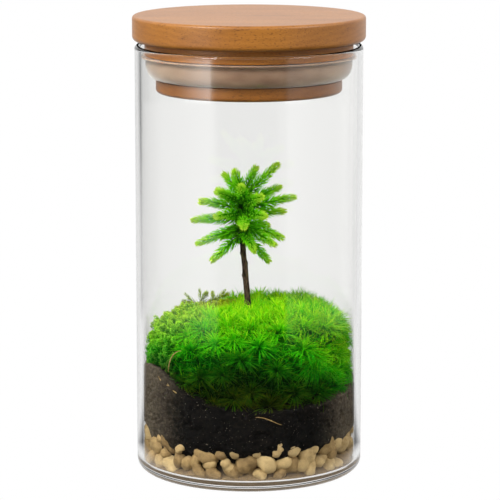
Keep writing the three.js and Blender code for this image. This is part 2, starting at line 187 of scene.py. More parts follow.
@dataclass
class Surface:
    """A closed mesh as arrays, with two painting values for each point, kept as its UV map."""

    points: Array
    quads: Array
    triangles: Array
    paint: Array

    @staticmethod
    def joined(surfaces: Sequence[Surface]) -> Surface:
        """Puts several surfaces into one, with the face numbers moved on.

        Args:
            surfaces: The surfaces, in order.

        Returns:
            One surface with all of their faces.
        """
        starts = np.cumsum([0] + [len(each.points) for each in surfaces[:-1]])
        moved = [
            (each.points, each.quads + start, each.triangles + start, each.paint)
            for each, start in zip(surfaces, starts)
        ]
        return Surface(*(np.concatenate(same) for same in zip(*moved)))

    def piece(self, name: str, finish: bpy.types.Material, slot: str, nodes: Sequence[str] = ()) -> None:
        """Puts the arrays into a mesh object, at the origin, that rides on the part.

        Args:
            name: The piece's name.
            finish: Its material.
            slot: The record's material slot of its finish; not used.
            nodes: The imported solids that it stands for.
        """
        mesh = bpy.data.meshes.new(name)
        corners = np.concatenate([self.quads.ravel(), self.triangles.ravel()])
        first = np.arange(len(self.quads)) * 4
        starts = np.concatenate([first, len(self.quads) * 4 + np.arange(len(self.triangles)) * 3])
        mesh.vertices.add(len(self.points))
        mesh.vertices.foreach_set("co", self.points.astype(np.float32).ravel())
        mesh.loops.add(len(corners))
        mesh.loops.foreach_set("vertex_index", corners.astype(np.int32))
        mesh.polygons.add(len(starts))
        mesh.polygons.foreach_set("loop_start", starts.astype(np.int32))
        mesh.update(calc_edges=True)
        layer = mesh.uv_layers.new(name="paint")
        layer.data.foreach_set("uv", self.paint[corners].astype(np.float32).ravel())
        mesh.shade_smooth()
        mesh.materials.append(finish)
        piece = in_scene(name, mesh)
        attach(piece, BODY)
        if nodes:
            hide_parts(*nodes)
        LOG.info("%s: %d faces", name, len(starts))


def skins(rings: Array, starts: Array, ends: Array, paint: Array | None = None) -> Surface:
    """Closed skins over rings of points, each closed by a fan at both ends.

    Args:
        rings: Copies x rings x points of a ring x 3. A ring runs counter-clockwise seen from the end.
        starts: Copies x 3, the point that closes each skin before its first ring.
        ends: Copies x 3, the point that closes it after its last ring.
        paint: Copies x (points of all rings + 2) x 2, or None for zeros.

    Returns:
        One surface with all the copies in it.
    """
    copies, count, sides, _ = rings.shape
    block = count * sides + 2
    points = np.concatenate([rings.reshape(copies, -1, 3), starts[:, None], ends[:, None]], axis=1)
    side = np.arange(sides)
    after = (side + 1) % sides
    ring = (np.arange(count - 1) * sides)[:, None]
    on = ring + sides
    quads = np.stack([ring + side, ring + after, on + after, on + side], -1).reshape(-1, 4)
    last = (count - 1) * sides
    fans = np.concatenate(
        [
            np.stack([np.full(sides, block - 2), after, side], -1),
            np.stack([np.full(sides, block - 1), last + side, last + after], -1),
        ]
    )
    offset = (np.arange(copies) * block)[:, None, None]
    if paint is None:
        paint = np.zeros((copies, block, 2))
    faces = (quads + offset).reshape(-1, 4), (fans + offset).reshape(-1, 3)
    return Surface(points.reshape(-1, 3), *faces, paint.reshape(-1, 2))


def rounded(corners: Sequence[tuple[float, float, float]], steps: int) -> Array:
    """A profile with round corners.

    Each corner becomes an arc that touches both of its sides, and a point a third of the fillet before
    and after the arc keeps the flat stretches flat when the surface is shaded smooth.

    Args:
        corners: (radius, height, fillet) of each corner. The first and the last are kept sharp.
        steps: Steps of each arc.

    Returns:
        Points x (radius, height).
    """
    places = np.array(corners)[:, :2]
    points = [places[:1]]
    for i in range(1, len(places) - 1):
        fillet = corners[i][2]
        if fillet == 0:
            points.append(places[i : i + 1])
            continue
        before, after = unit(places[i - 1] - places[i]), unit(places[i + 1] - places[i])
        half = math.acos(float(np.clip(before @ after, -1, 1))) / 2
        run = fillet / math.tan(half)
        centre = places[i] + unit(before + after) * fillet / math.sin(half)
        start = places[i] + before * run - centre
        turn = math.pi - 2 * half
        aside = (places[i] + after * run - centre - start * math.cos(turn)) / math.sin(turn)
        angle = np.linspace(0, turn, steps + 1)[:, None]
        arc = centre + start * np.cos(angle) + aside * np.sin(angle)
        points += [arc[:1] + before * fillet / 3, arc, arc[-1:] + after * fillet / 3]
    return np.concatenate([*points, places[-1:]])


def turned(profile: Array, sides: int) -> Surface:
    """A body turned about Z: point = (radius cos a, radius sin a, height).

    Args:
        profile: Points x (radius, height), from the axis round the body to the axis.
        sides: Points round each ring.

    Returns:
        The turned surface.
    """
    rings = hoops(profile[1:-1, :1], profile[1:-1, 1:], sides)
    return skins(rings[None], on_axis(profile[0, 1]), on_axis(profile[-1, 1]))


def swept(paths: Array, hints: Array, sections: Array, paint: Array) -> Surface:
    """Sections carried along paths, which close to a point at both ends.

    With ahead the path's direction, across = hint x ahead and rise = ahead x across, a point is
    path + across times its section's x + rise times its section's y.

    Args:
        paths: Copies x stations x 3.
        hints: Copies x 3, the direction that each section's y leans to.
        sections: Copies or 1 x inner stations x sides x 2.
        paint: Copies x stations x 2, the painting values at each station.

    Returns:
        One surface with all the copies in it.
    """
    ahead = unit(np.gradient(paths, axis=1))
    across = unit(np.cross(hints[:, None], ahead))
    rise = np.cross(ahead, across)
    path, across, rise = (each[:, 1:-1, None] for each in (paths, across, rise))
    rings = path + across * sections[..., :1] + rise * sections[..., 1:]
    inner = np.repeat(paint[:, 1:-1], rings.shape[2], axis=1)
    values = np.concatenate([inner, paint[:, :1], paint[:, -1:]], axis=1)
    return skins(rings, paths[:, 0], paths[:, -1], values)


@dataclass
class Blades:
    """Narrow leaves, each with a folded three-sided section that tapers to both ends."""

    roots: Array
    ahead: Array
    bend: Array
    upward: Array
    length: Array
    width: Array
    tone: Array
    ages: Array

    def surface(self, joints: int = 5, fold: float = 0.3, belly: float = 0.25) -> Surface:
        """Grows the leaves.

        With t from 0 at the root to 1 at the tip, the midrib is root + length (t ahead + t^2 bend), and
        the width follows (t / belly)^0.6 up to the belly and then (1 - ((t - belly) / (1 - belly))^2).

        Args:
            joints: Stretches along a leaf.
            fold: Depth of the keel, as a share of the width.
            belly: Where the leaf is widest.

        Returns:
            One surface. Its paint is the leaf's tone, and its age from the root's value to the tip's.
        """
        share = np.linspace(0, 1, joints + 1)
        run = share[None, :, None]
        length = self.length[:, None, None]
        paths = self.roots[:, None] + length * (run * self.ahead[:, None] + run**2 * self.bend[:, None])
        past = np.maximum(share - belly, 0) / (1 - belly)
        swell = np.where(share < belly, (share / belly) ** 0.6, 1 - past**2)[1:-1]
        corners = np.array([[0.5, 0.1], [-0.5, 0.1], [0, -fold]])
        sections = self.width[:, None, None, None] * swell[None, :, None, None] * corners
        along = blended(self.ages[:, :1], self.ages[:, 1:], share)
        paint = np.stack(np.broadcast_arrays(self.tone[:, None], along), -1)
        return swept(paths, self.upward, sections, paint)

    def picked(self, chosen: Array) -> Blades:
        """The leaves where chosen is true."""
        return Blades(*(getattr(self, field.name)[chosen] for field in fields(self)))


@dataclass
class Brushes:
    """Thin curved stems with narrow leaves in a golden-angle spiral.

    A stem is a quadratic curve from start to tip. Its middle control point lies halfway, moved by the arch.
    """

    start: Array
    tip: Array
    arch: Array
    tone: Array
    leaves: int
    leaf_length: tuple[float, float]
    leaf_width: float
    lean: tuple[float, float, float]
    stem: float
    joints: int = 4
    first: float = 0.05
    blunt: float = 0.85

    def along(self, share: Array) -> tuple[Array, Array]:
        """Follows the stems.

        Args:
            share: Stems x places, from 0 at the start to 1 at the tip.

        Returns:
            The places on the stems, and unit vectors along them.
        """
        share = share[..., None]
        start, tip, arch = self.start[:, None], self.tip[:, None], self.arch[:, None]
        middle = (start + tip) / 2 + arch
        place = (1 - share) ** 2 * start + 2 * share * (1 - share) * middle + share**2 * tip
        return place, unit((1 - share) * (middle - start) + share * (tip - middle))

    def surface(self, draw: np.random.Generator) -> Surface:
        """Grows stems and leaves.

        With s the share along the stem, a leaf leans away from it by lean[0] at the foot, lean[1] at
        s = 0.9 and lean[2] at the tip, in degrees, and curves forwards. Its length goes from leaf_length[0]
        to leaf_length[1] by a smooth step, and shrinks past s = blunt by the root of a falling parabola,
        so the end is round. The outer leaves are younger, and painted lighter.

        Args:
            draw: Random draws.

        Returns:
            One surface. Its tone is the stem's own, and grows towards the tip.
        """
        count = len(self.start)
        tone = self.tone[:, None]
        stations = np.linspace(0, 1, 9)
        paths, _ = self.along(np.tile(stations, (count, 1)))
        thick = self.stem * (1 - 0.6 * stations[1:-1])
        paint = np.stack(np.broadcast_arrays(tone * 0.5, 0.25 + 0 * stations), -1)
        hints = np.tile([[0.31, 0.52, 0.8]], (count, 1))
        stems = swept(paths, hints, (thick[:, None, None] * circle(6))[None], paint)
        share = draw.uniform(-0.4, 0.4, (count, self.leaves)) / self.leaves
        share = np.clip(np.linspace(self.first, 1, self.leaves) + share, 0, 1)
        place, ahead = self.along(share)
        across = unit(np.cross(UP + [0.013, 0.007, 0], ahead))
        rise = np.cross(ahead, across)
        angle = np.arange(self.leaves) * GOLDEN_ANGLE + draw.uniform(0, 6.28, (count, 1))
        angle = (angle + draw.uniform(-0.3, 0.3, angle.shape))[..., None]
        outward = across * np.cos(angle) + rise * np.sin(angle)
        lean = np.interp(share, [0, 0.9, 1], self.lean) + draw.uniform(-8, 8, share.shape)
        lean = np.radians(lean)[..., None]
        size = blended(*self.leaf_length, smoothstep(0.3, 1, share)) * draw.uniform(0.85, 1.12, share.shape)
        size = size * np.sqrt(1 - 0.7 * (np.maximum(share - self.blunt, 0) / (1 - self.blunt)) ** 2)
        flat = (count * self.leaves, 3)
        width = self.leaf_width * draw.uniform(0.85, 1.15, size.size)
        tone = tone * 0.4 + share**1.5 * 0.6 + draw.uniform(-0.1, 0.1, share.shape)
        leaves = Blades(
            roots=(place + outward * self.stem * 0.4).reshape(flat),
            ahead=(ahead * np.cos(lean) + outward * np.sin(lean)).reshape(flat),
            bend=(ahead * 0.25 - outward * 0.2).reshape(flat),
            upward=(outward - ahead * 0.4).reshape(flat),
            length=size.ravel(),
            width=width,
            tone=np.clip(tone, 0, 1).ravel(),
            ages=np.stack([share**2 * 0.6, 0.55 + 0.45 * share], -1).reshape(-1, 2),
        )
        return Surface.joined([stems, leaves.surface(joints=self.joints, fold=0.4, belly=0.4)])


# ---------- shader graphs ----------
Value = "Wire | float"


def srgb(red: float, green: float, blue: float) -> tuple[float, float, float, float]:
    """A colour in linear light.

    Args:
        red: Its display value, from 0 to 255.
        green: The same.
        blue: The same.

    Returns:
        Linear red, green and blue, and 1 for alpha.
    """
    shares = [channel / 255 for channel in (red, green, blue)]
    linear = [share / 12.92 if share <= 0.04045 else ((share + 0.055) / 1.055) ** 2.4 for share in shares]
    return (*linear, 1.0)


@dataclass(frozen=True)
class Wire:
    """A number in a shader graph. Arithmetic on it adds Math nodes."""

    graph: Graph
    socket: bpy.types.NodeSocket

    def maths(self, operation: str, other: Value = 0.0, swapped: bool = False) -> Wire:
        """One Math node on this number and another, or on the other and this one."""
        pair = (other, self) if swapped else (self, other)
        return self.graph.node("ShaderNodeMath", {"operation": operation}, dict(enumerate(pair)))

    def __add__(self, other: Value) -> Wire:
        """self + other."""
        return self.maths("ADD", other)

    def __radd__(self, other: Value) -> Wire:
        """other + self."""
        return self.maths("ADD", other, swapped=True)

    def __sub__(self, other: Value) -> Wire:
        """self - other."""
        return self.maths("SUBTRACT", other)

    def __rsub__(self, other: Value) -> Wire:
        """other - self."""
        return self.maths("SUBTRACT", other, swapped=True)

    def __mul__(self, other: Value) -> Wire:
        """self * other."""
        return self.maths("MULTIPLY", other)

    def __rmul__(self, other: Value) -> Wire:
        """other * self."""
        return self.maths("MULTIPLY", other, swapped=True)

    def __truediv__(self, other: Value) -> Wire:
        """self / other."""
        return self.maths("DIVIDE", other)

    def __rtruediv__(self, other: Value) -> Wire:
        """other / self."""
        return self.maths("DIVIDE", other, swapped=True)

    def __pow__(self, other: Value) -> Wire:
        """self to the power of other."""
        return self.maths("POWER", other)

    def __rpow__(self, other: Value) -> Wire:
        """other to the power of self."""
        return self.maths("POWER", other, swapped=True)

    def __abs__(self) -> Wire:
        """The number without its sign."""
        return self.maths("ABSOLUTE")

    def step(self, low: float, high: float) -> Wire:
        """0 below low and 1 above high, smooth between them."""
        settings = {"interpolation_type": "SMOOTHSTEP"}
        return self.graph.node("ShaderNodeMapRange", settings, {"Value": self, 1: low, 2: high})


class Graph:
    """The node tree of a material or a world."""

    def __init__(self, owner: bpy.types.Material | bpy.types.World) -> None:
        """Empties the owner's node tree.

        Args:
            owner: The material or the world that the nodes are made in.
        """
        owner.use_nodes = True
        self.owner = owner
        self.tree = owner.node_tree
        self.tree.nodes.clear()

    def node(
        self, kind: str, settings: dict | None = None, inputs: dict | None = None, output: int | str = 0
    ) -> Wire:
        """Adds a node.

        Args:
            kind: The node's type.
            settings: Its own settings, set first. "stops" holds a colour ramp's (place, colour) pairs.
            inputs: Values or wires for its sockets, by name or number.
            output: Which of its outputs the wire comes from.

        Returns:
            A wire from that output.
        """
        node = self.tree.nodes.new(kind)
        for name, setting in (settings or {}).items():
            if name != "stops":
                setattr(node, name, setting)
                continue
            ramp = node.color_ramp.elements
            while len(ramp) < len(setting):
                ramp.new(0.5)
            for element, (place, colour) in zip(ramp, setting):
                element.position = place
                element.color = colour
        for name, value in (inputs or {}).items():
            if isinstance(value, Wire):
                self.tree.links.new(value.socket, node.inputs[name])
            else:
                node.inputs[name].default_value = value
        return Wire(self, node.outputs[output])

    def place(self, stretch: tuple[float, float, float] = (1, 1, 1), turn: float = 0.0) -> Wire:
        """Object coordinates, each axis stretched, and then turned about Z by an angle in radians."""
        inputs = {
            "Vector": self.node("ShaderNodeTexCoord", output="Object"),
            "Rotation": (0, 0, turn),
            "Scale": stretch,
        }
        return self.node("ShaderNodeMapping", {"vector_type": "POINT"}, inputs)

    def axes(self, vector: Wire | None = None) -> tuple[Wire, Wire, Wire]:
        """The three numbers of a vector, or of the object coordinates."""
        split = self.node("ShaderNodeSeparateXYZ", inputs={"Vector": vector or self.place()})
        return tuple(Wire(self, output) for output in split.socket.node.outputs)

    def painted(self) -> tuple[Wire, Wire]:
        """The two painting values of the piece, out of its UV map."""
        across, along, _ = self.axes(self.node("ShaderNodeUVMap", {"uv_map": "paint"}))
        return across, along

    def noise(self, size: float, detail: float = 3, rough: float = 0.55, place: Wire | None = None) -> Wire:
        """Fractal noise round 0.5, whose largest features are about this size."""
        inputs = {"Vector": place or self.place(), "Scale": 1 / size, "Detail": detail, "Roughness": rough}
        return self.node("ShaderNodeTexNoise", inputs=inputs)

    def ramp(self, share: Wire, *stops: tuple[float, tuple]) -> Wire:
        """A colour for a number, out of (place, colour) pairs."""
        return self.node("ShaderNodeValToRGB", {"stops": stops}, {"Fac": share})

    def mix(self, first: Wire | tuple, second: Wire | tuple, share: Value, how: str = "MIX") -> Wire:
        """Two colours mixed, or blended in another way."""
        settings = {"data_type": "RGBA", "blend_type": how}
        return self.node("ShaderNodeMix", settings, {0: share, 6: first, 7: second}, 2)

    def bump(self, height: Wire, depth: float) -> Wire:
        """A normal for a height from 0 to 1, which is that deep, in metres."""
        return self.node("ShaderNodeBump", inputs={"Height": height, "Distance": depth})

    def surface(self, **inputs: Wire | float | tuple) -> bpy.types.Material:
        """Closes a material with one Principled shader, whose sockets are named with _ for a blank."""
        named = {name.replace("_", " "): value for name, value in inputs.items()}
        return self.close(self.node("ShaderNodeBsdfPrincipled", inputs=named))

    def mixed(self, share: Value, first: Wire, second: Wire) -> bpy.types.Material:
        """Closes a material with two shaders, mixed by a share."""
        return self.close(self.node("ShaderNodeMixShader", inputs={0: share, 1: first, 2: second}))

    def close(self, shader: Wire) -> bpy.types.Material | bpy.types.World:
        """Leads a shader to the surface output.

        Args:
            shader: The last shader of the graph.

        Returns:
            The material or the world.
        """
        kind = "World" if isinstance(self.owner, bpy.types.World) else "Material"
        end = self.tree.nodes.new(f"ShaderNodeOutput{kind}")
        self.tree.links.new(shader.socket, end.inputs["Surface"])
        return self.owner


def fresh(name: str) -> Graph:
    """The graph of a new material."""
    return Graph(bpy.data.materials.new(name))


# ---------- finishes ----------
@dataclass(frozen=True)
class ClearGlass:
    """Thin, clear, faintly grey glass. Light for the filling passes straight through it."""

    tint: tuple = srgb(252, 252, 251)
    shade: tuple = srgb(249, 249, 248)
    index: float = 1.46

    def make(self) -> bpy.types.Material:
        """Refraction for what is seen, and a plain see-through film for lamp light.

        Returns:
            The material.
        """
        graph = fresh("clear_glass")
        inputs = {"Base Color": self.tint, "Roughness": 0.0, "IOR": self.index, "Transmission Weight": 1.0}
        glass = graph.node("ShaderNodeBsdfPrincipled", inputs=inputs)
        film = graph.node("ShaderNodeBsdfTransparent", inputs={"Color": self.shade})
        return graph.mixed(graph.node("ShaderNodeLightPath", output="Is Shadow Ray"), glass, film)


@dataclass(frozen=True)
class BeechWood:
    """Satin beech, grain along X: growth lines, fibres, short dark flecks, flames, and painted shade on the
    plug.
    """

    pale: tuple = srgb(190, 124, 48)
    deep: tuple = srgb(154, 92, 28)
    fleck: tuple = srgb(92, 48, 14)
    heart: tuple[float, float] = (0.03, -0.16)
    ring: float = 2.6 * MM
    # painted shade: the colour that the wood of the plug is multiplied by
    handled: tuple = (0.6, 0.55, 0.46, 1.0)
    plug: float = 175.5 * MM

    def make(self) -> bpy.types.Material:
        """Rings round a heart line along X, bent by noise, with flecks drawn out along X.

        Returns:
            The material.
        """
        graph = fresh("beech_wood")
        grain = graph.place(stretch=(0.12, 1, 1), turn=math.radians(4))
        _, y, z = graph.axes(grain)
        bent = graph.noise(14 * MM, 2, place=grain) * (5 * MM)
        away = ((y - self.heart[0]) ** 2 + (z - self.heart[1]) ** 2) ** 0.5 + bent
        rings = (away * (2 * math.pi / self.ring)).maths("SINE")
        fibres = graph.noise(0.35 * MM, 3, 0.6, graph.place(stretch=(0.05, 1, 1)))
        cloud = graph.noise(16 * MM, 3, 0.5, graph.place(stretch=(0.4, 1, 1.4)))
        shade = rings * 0.07 + fibres * 0.6 + cloud * 0.8 - 0.2
        base = graph.ramp(shade, (0.1, self.deep), (0.75, self.pale))
        dashes = graph.noise(0.42 * MM, 1, 0.4, graph.place(stretch=(0.3, 1, 1), turn=math.radians(-3)))
        dashes = dashes.step(0.6, 0.68)
        flames = graph.noise(6 * MM, 3, 0.6, graph.place(stretch=(0.22, 1, 1.6))).step(0.6, 0.74)
        base = graph.mix(base, self.fleck, dashes * 0.5 + flames * 0.3)
        # painted shade: the wood below the plug height is multiplied by the plug shade, so it reads darker
        _, _, level = graph.axes()
        lower = 1 - level.step(self.plug - 1 * MM, self.plug)
        return graph.surface(
            Base_Color=graph.mix(base, self.handled, lower, "MULTIPLY"),
            Roughness=0.36 + fibres * 0.14,
            Normal=graph.bump(fibres * 0.5 - dashes * 0.5, 0.05 * MM),
            Specular_IOR_Level=0.45,
            Coat_Weight=0.3,
            Coat_Roughness=0.3,
        )


@dataclass(frozen=True)
class Silicone:
    """Milky translucent silicone over wood, a little cloudy."""

    pale: tuple = srgb(160, 130, 106)
    deep: tuple = srgb(136, 105, 82)
    # painted sheen: a lighter colour mixed in towards the left and right sides
    milk: tuple = srgb(208, 184, 158)

    def make(self) -> bpy.types.Material:
        """Two tones in soft clouds, with a painted sheen that makes it lighter towards the left and right.

        Returns:
            The material.
        """
        graph = fresh("milky_silicone")
        cloud = graph.noise(9 * MM, 3, 0.5, graph.place(stretch=(1, 1, 2)))
        fine = graph.noise(0.6 * MM, 2)
        # painted sheen: up to 40% of the lighter colour towards the left and right, away from x = 0
        sheen_sides = abs(graph.axes()[0]).step(8 * MM, 38 * MM)
        base = graph.ramp(cloud, (0.3, self.deep), (0.7, self.pale))
        return graph.surface(
            Base_Color=graph.mix(base, self.milk, sheen_sides * 0.4),
            Roughness=0.3 + fine * 0.12,
            Normal=graph.bump(fine, 0.02 * MM),
            Sheen_Weight=1.0,
            Sheen_Roughness=0.35,
            Subsurface_Weight=0.3,
            Subsurface_Radius=(0.004, 0.003, 0.002),
            Subsurface_Scale=0.6,
        )


@dataclass(frozen=True)
class Stone:
    """Cream and tan gravel, each stone in its own tone, mottled, with small dark pits."""

    pale: tuple = srgb(206, 178, 124)
    mid: tuple = srgb(168, 139, 88)
    deep: tuple = srgb(116, 90, 50)
    pit: tuple = srgb(84, 60, 34)
    # painted shade for the gaps between the stones
    gap: tuple = srgb(50, 38, 24)

    def make(self) -> bpy.types.Material:
        """A tone out of the paint, mottled by noise, with painted shade in the gaps behind the glass.

        Returns:
            The material.
        """
        graph = fresh("cream_gravel")
        tone, whole = graph.painted()
        x, y, level = graph.axes()
        mottle = graph.noise(2.2 * MM, 5, 0.6)
        shade = tone * 0.6 + mottle * 0.7 - 0.15
        base = graph.ramp(shade, (0.1, self.deep), (0.45, self.mid), (0.8, self.pale))
        pits = graph.noise(0.55 * MM, 2, 0.5)
        base = graph.mix(base, self.pit, pits.step(0.66, 0.74) * 0.7)
        # painted shade: darker away from the glass where the gaps lie, and darker on the grit, but not down
        # at the floor
        inside = 1 - ((x * x + y * y) ** 0.5).step(42 * MM, 46.2 * MM)
        gap_shade = (inside * 0.8 + (1 - whole) * 0.3) * level.step(4.7 * MM, 5.6 * MM)
        return graph.surface(
            Base_Color=graph.mix(base, self.gap, gap_shade),
            Roughness=0.62 + mottle * 0.25,
            Normal=graph.bump(mottle * 0.7 + pits * 0.3, 0.5 * MM),
        )


@dataclass(frozen=True)
class Earth:
    """Nearly black moist soil with a few pale specks, and painted haze: lighter, greyer crumbs at both sides.
    """

    black: tuple = srgb(6, 6, 5)
    brown: tuple = srgb(27, 22, 16)
    # painted haze of light at both sides, mixed into the crumbs
    dry: tuple = srgb(124, 112, 94)
    speck: tuple = srgb(150, 140, 122)

    def make(self) -> bpy.types.Material:
        """Black crumbs with brown between them, and specks where a fine noise is high.

        Returns:
            The material.
        """
        graph = fresh("dark_soil")
        crumbs = graph.noise(1.3 * MM, 5, 0.65)
        patch = graph.noise(14 * MM, 2)
        x, _, _ = graph.axes()
        # painted haze: the crumbs get lighter and greyer towards the left and right
        dry = (0 - x).step(24 * MM, 47 * MM) + x.step(26 * MM, 46 * MM)
        crumbly = (crumbs + patch * 0.3 - 0.15).step(0.3, 0.76)
        base = graph.ramp(crumbs + patch * 0.4 - 0.2, (0.42, self.black), (0.75, self.brown))
        base = graph.mix(base, self.dry, dry * (dry * 0.4 + crumbly * 0.6))
        specks = graph.noise(0.6 * MM, 1, 0.3).step(0.73, 0.78)
        return graph.surface(
            Base_Color=graph.mix(base, self.speck, specks * 0.75),
            Roughness=0.72 + crumbs * 0.3,
            Normal=graph.bump(crumbs, 0.8 * MM),
            Specular_IOR_Level=0.12,
        )


@dataclass(frozen=True)
class Bark:
    """Dark brown bark in long plates with darker cracks, or straw in its own colours."""

    name: str = "brown_bark"
    ridge: tuple = srgb(104, 84, 68)
    crack: tuple = srgb(32, 25, 20)

    def make(self) -> bpy.types.Material:
        """Noise drawn out along Z.

        Returns:
            The material.
        """
        graph = fresh(self.name)
        plates = graph.noise(0.8 * MM, 4, 0.6, graph.place(stretch=(1, 1, 0.25)))
        base = graph.ramp(plates, (0.38, self.crack), (0.68, self.ridge))
        normal = graph.bump(plates, 0.3 * MM)
        return graph.surface(Base_Color=base, Roughness=0.85, Normal=normal, Specular_IOR_Level=0.1)


@dataclass(frozen=True)
class Leaf:
    """Leaves that run from a dark root to a light tip, and from one tone to another.

    The colours are display values. The painted shade is given as pairs of a height in millimetres and a
    colour to multiply by, darker low down, on planes that rise towards the front by the tilt and to the left
    by the lean, and fall to both sides by the flank.
    """

    name: str
    root: Colour
    body: Colour
    tip: Colour
    warm: Colour
    glow: float
    # painted shade: (height in mm, colour to multiply by), darker low down
    shades: tuple[tuple[float, Colour], ...] = ()
    tilt: float = 0.5
    lean: float = 0.12
    flank: float = 0.0
    lowest: float = 14 * MM
    highest: float = 70 * MM
    # painted shade: the colour that the back of the mound is multiplied by
    behind: tuple = (0.5, 0.62, 0.8, 1)

    def make(self) -> bpy.types.Material:
        """A ramp along the leaf, warmed by its tone, darkened low down by painted shade, part translucent.

        Higher up, a leaf's tip takes less of the painted shade. The back gets a little painted shade too.

        Returns:
            The material.
        """
        graph = fresh(self.name)
        tone, along = graph.painted()
        x, y, z = graph.axes()
        base = graph.ramp(along, (0.0, srgb(*self.root)), (0.45, srgb(*self.body)), (0.95, srgb(*self.tip)))
        mottle = graph.noise(5 * MM, 2)
        warmth = tone * 0.8 + mottle * 0.4 - 0.2
        base = graph.mix(base, srgb(*self.warm), warmth.step(0.1, 0.9) * (0.3 + along * 0.6))
        # painted shade: multiply by a ramp of colours by height, and let the tips higher up take less of it
        if self.shades:
            reach = self.highest - self.lowest
            height = z + x * self.lean + abs(x) * self.flank + y * self.tilt
            height = (height + mottle * (6 * MM) - 3 * MM - self.lowest) / reach
            stops = [((level * MM - self.lowest) / reach, (*shade, 1.0)) for level, shade in self.shades]
            relief = along**4 * height.step(0.1, 0.5) * 0.45
            base = graph.mix(base, graph.ramp(height, *stops), 1 - relief, "MULTIPLY")
            # painted shade: darker towards the back
            base = graph.mix(base, self.behind, y.step(-4 * MM, 30 * MM), "MULTIPLY")
        inputs = {"Base Color": base, "Roughness": 0.5, "Specular IOR Level": 0.08}
        solid = graph.node("ShaderNodeBsdfPrincipled", inputs=inputs)
        through = graph.node("ShaderNodeBsdfTranslucent", inputs={"Color": base})
        return graph.mixed(self.glow, solid, through)


# ---------- the jar and its lid ----------
@dataclass
class Jar:
    """The straight glass jar: thick base, rounded heel, fire-rounded rim."""

    radius: float = 50 * MM
    bore: float = 47.4 * MM
    height: float = 189 * MM
    floor: float = 4.5 * MM
    heel: float = 4.8 * MM
    fillet: float = 1.3 * MM
    rim: float = 1.29 * MM
    sides: int = 256

    def build(self) -> None:
        """Turns the wall's outline, from the middle of the base round the rim to the middle of the floor."""
        outline = [
            (0, 0, 0),
            (self.radius, 0, self.heel),
            (self.radius, self.height, self.rim),
            (self.bore, self.height, self.rim),
            (self.bore, self.floor, self.fillet),
            (0, self.floor, 0),
        ]
        turned(rounded(outline, 10), self.sides).piece("jar", ClearGlass().make(), "glass", ["glass_jar"])


@dataclass
class Lid:
    """The turned wooden stopper, with a silicone ring in its groove."""

    radius: float = 51 * MM
    top: float = 202 * MM
    underside: float = 191 * MM
    upper_radius: float = 45.6 * MM
    upper_end: float = 185.2 * MM
    groove_radius: float = 38.6 * MM
    groove_end: float = 174.6 * MM
    lower_radius: float = 40.8 * MM
    lower_end: float = 168.8 * MM
    seal_radius: float = 45.2 * MM
    lip_radius: float = 47.1 * MM
    lip: float = 0.9 * MM
    straight: float = 2.2 * MM
    foot_radius: float = 41.0 * MM
    gap: float = 0.3 * MM
    sides: int = 256

    def build(self) -> None:
        """Builds the wood and the ring."""
        wood = [
            (0, self.lower_end, 0),
            (self.lower_radius, self.lower_end, 1.5 * MM),
            (self.lower_radius, self.groove_end, 0.3 * MM),
            (self.groove_radius, self.groove_end, 0),
            (self.groove_radius, self.upper_end, 0),
            (self.upper_radius, self.upper_end, 0.4 * MM),
            (self.upper_radius, self.underside, 0.3 * MM),
            (self.radius, self.underside, 2.2 * MM),
            (self.radius, self.top, 1.3 * MM),
            (0, self.top, 0),
        ]
        turned(rounded(wood, 7), self.sides).piece("lid", BeechWood().make(), "wood", ["wooden_lid"])
        self.seal().piece("seal", Silicone().make(), "silicone", ["lid_seal"])

    def seal(self) -> Surface:
        """The ring: a bowl below a short straight stretch, and a thin lip on top that bears on the glass.

        The bowl is a quarter of an ellipse: radius = foot + swell cos a, and height = top of the bowl -
        depth sin a.

        Returns:
            The ring, closed round its section and round the lid.
        """
        top, foot = self.upper_end - self.gap, self.groove_end + self.gap
        bore = self.groove_radius + self.gap
        bowl_top = top - self.lip - self.straight
        angle = np.radians(np.linspace(86, 0, 16))
        swell = self.seal_radius - self.foot_radius
        bowl = [self.foot_radius + swell * np.cos(angle), bowl_top - (bowl_top - foot) * np.sin(angle)]
        lip = [
            [self.seal_radius, top - self.lip * 1.3],
            [self.seal_radius + 0.3 * MM, top - self.lip],
            [self.lip_radius, top - self.lip * 0.55],
            [self.lip_radius, top - 0.1 * MM],
            [self.lip_radius - 0.15 * MM, top],
            [bore + 0.4 * MM, top],
            [bore, top - 0.2 * MM],
            [bore, foot + 0.2 * MM],
            [bore + 0.4 * MM, foot],
        ]
        loop = np.concatenate([np.stack(bowl, -1), lip])
        count = len(loop)
        ring, side = np.meshgrid(np.arange(count), np.arange(self.sides), indexing="ij")
        on, after = (ring + 1) % count, (side + 1) % self.sides
        quads = np.stack([ring, ring, on, on], -1) * self.sides + np.stack([side, after, after, side], -1)
        points = hoops(loop[:, :1], loop[:, 1:], self.sides).reshape(-1, 3)
        return Surface(points, quads.reshape(-1, 4), np.zeros((0, 3), int), np.zeros((len(points), 2)))


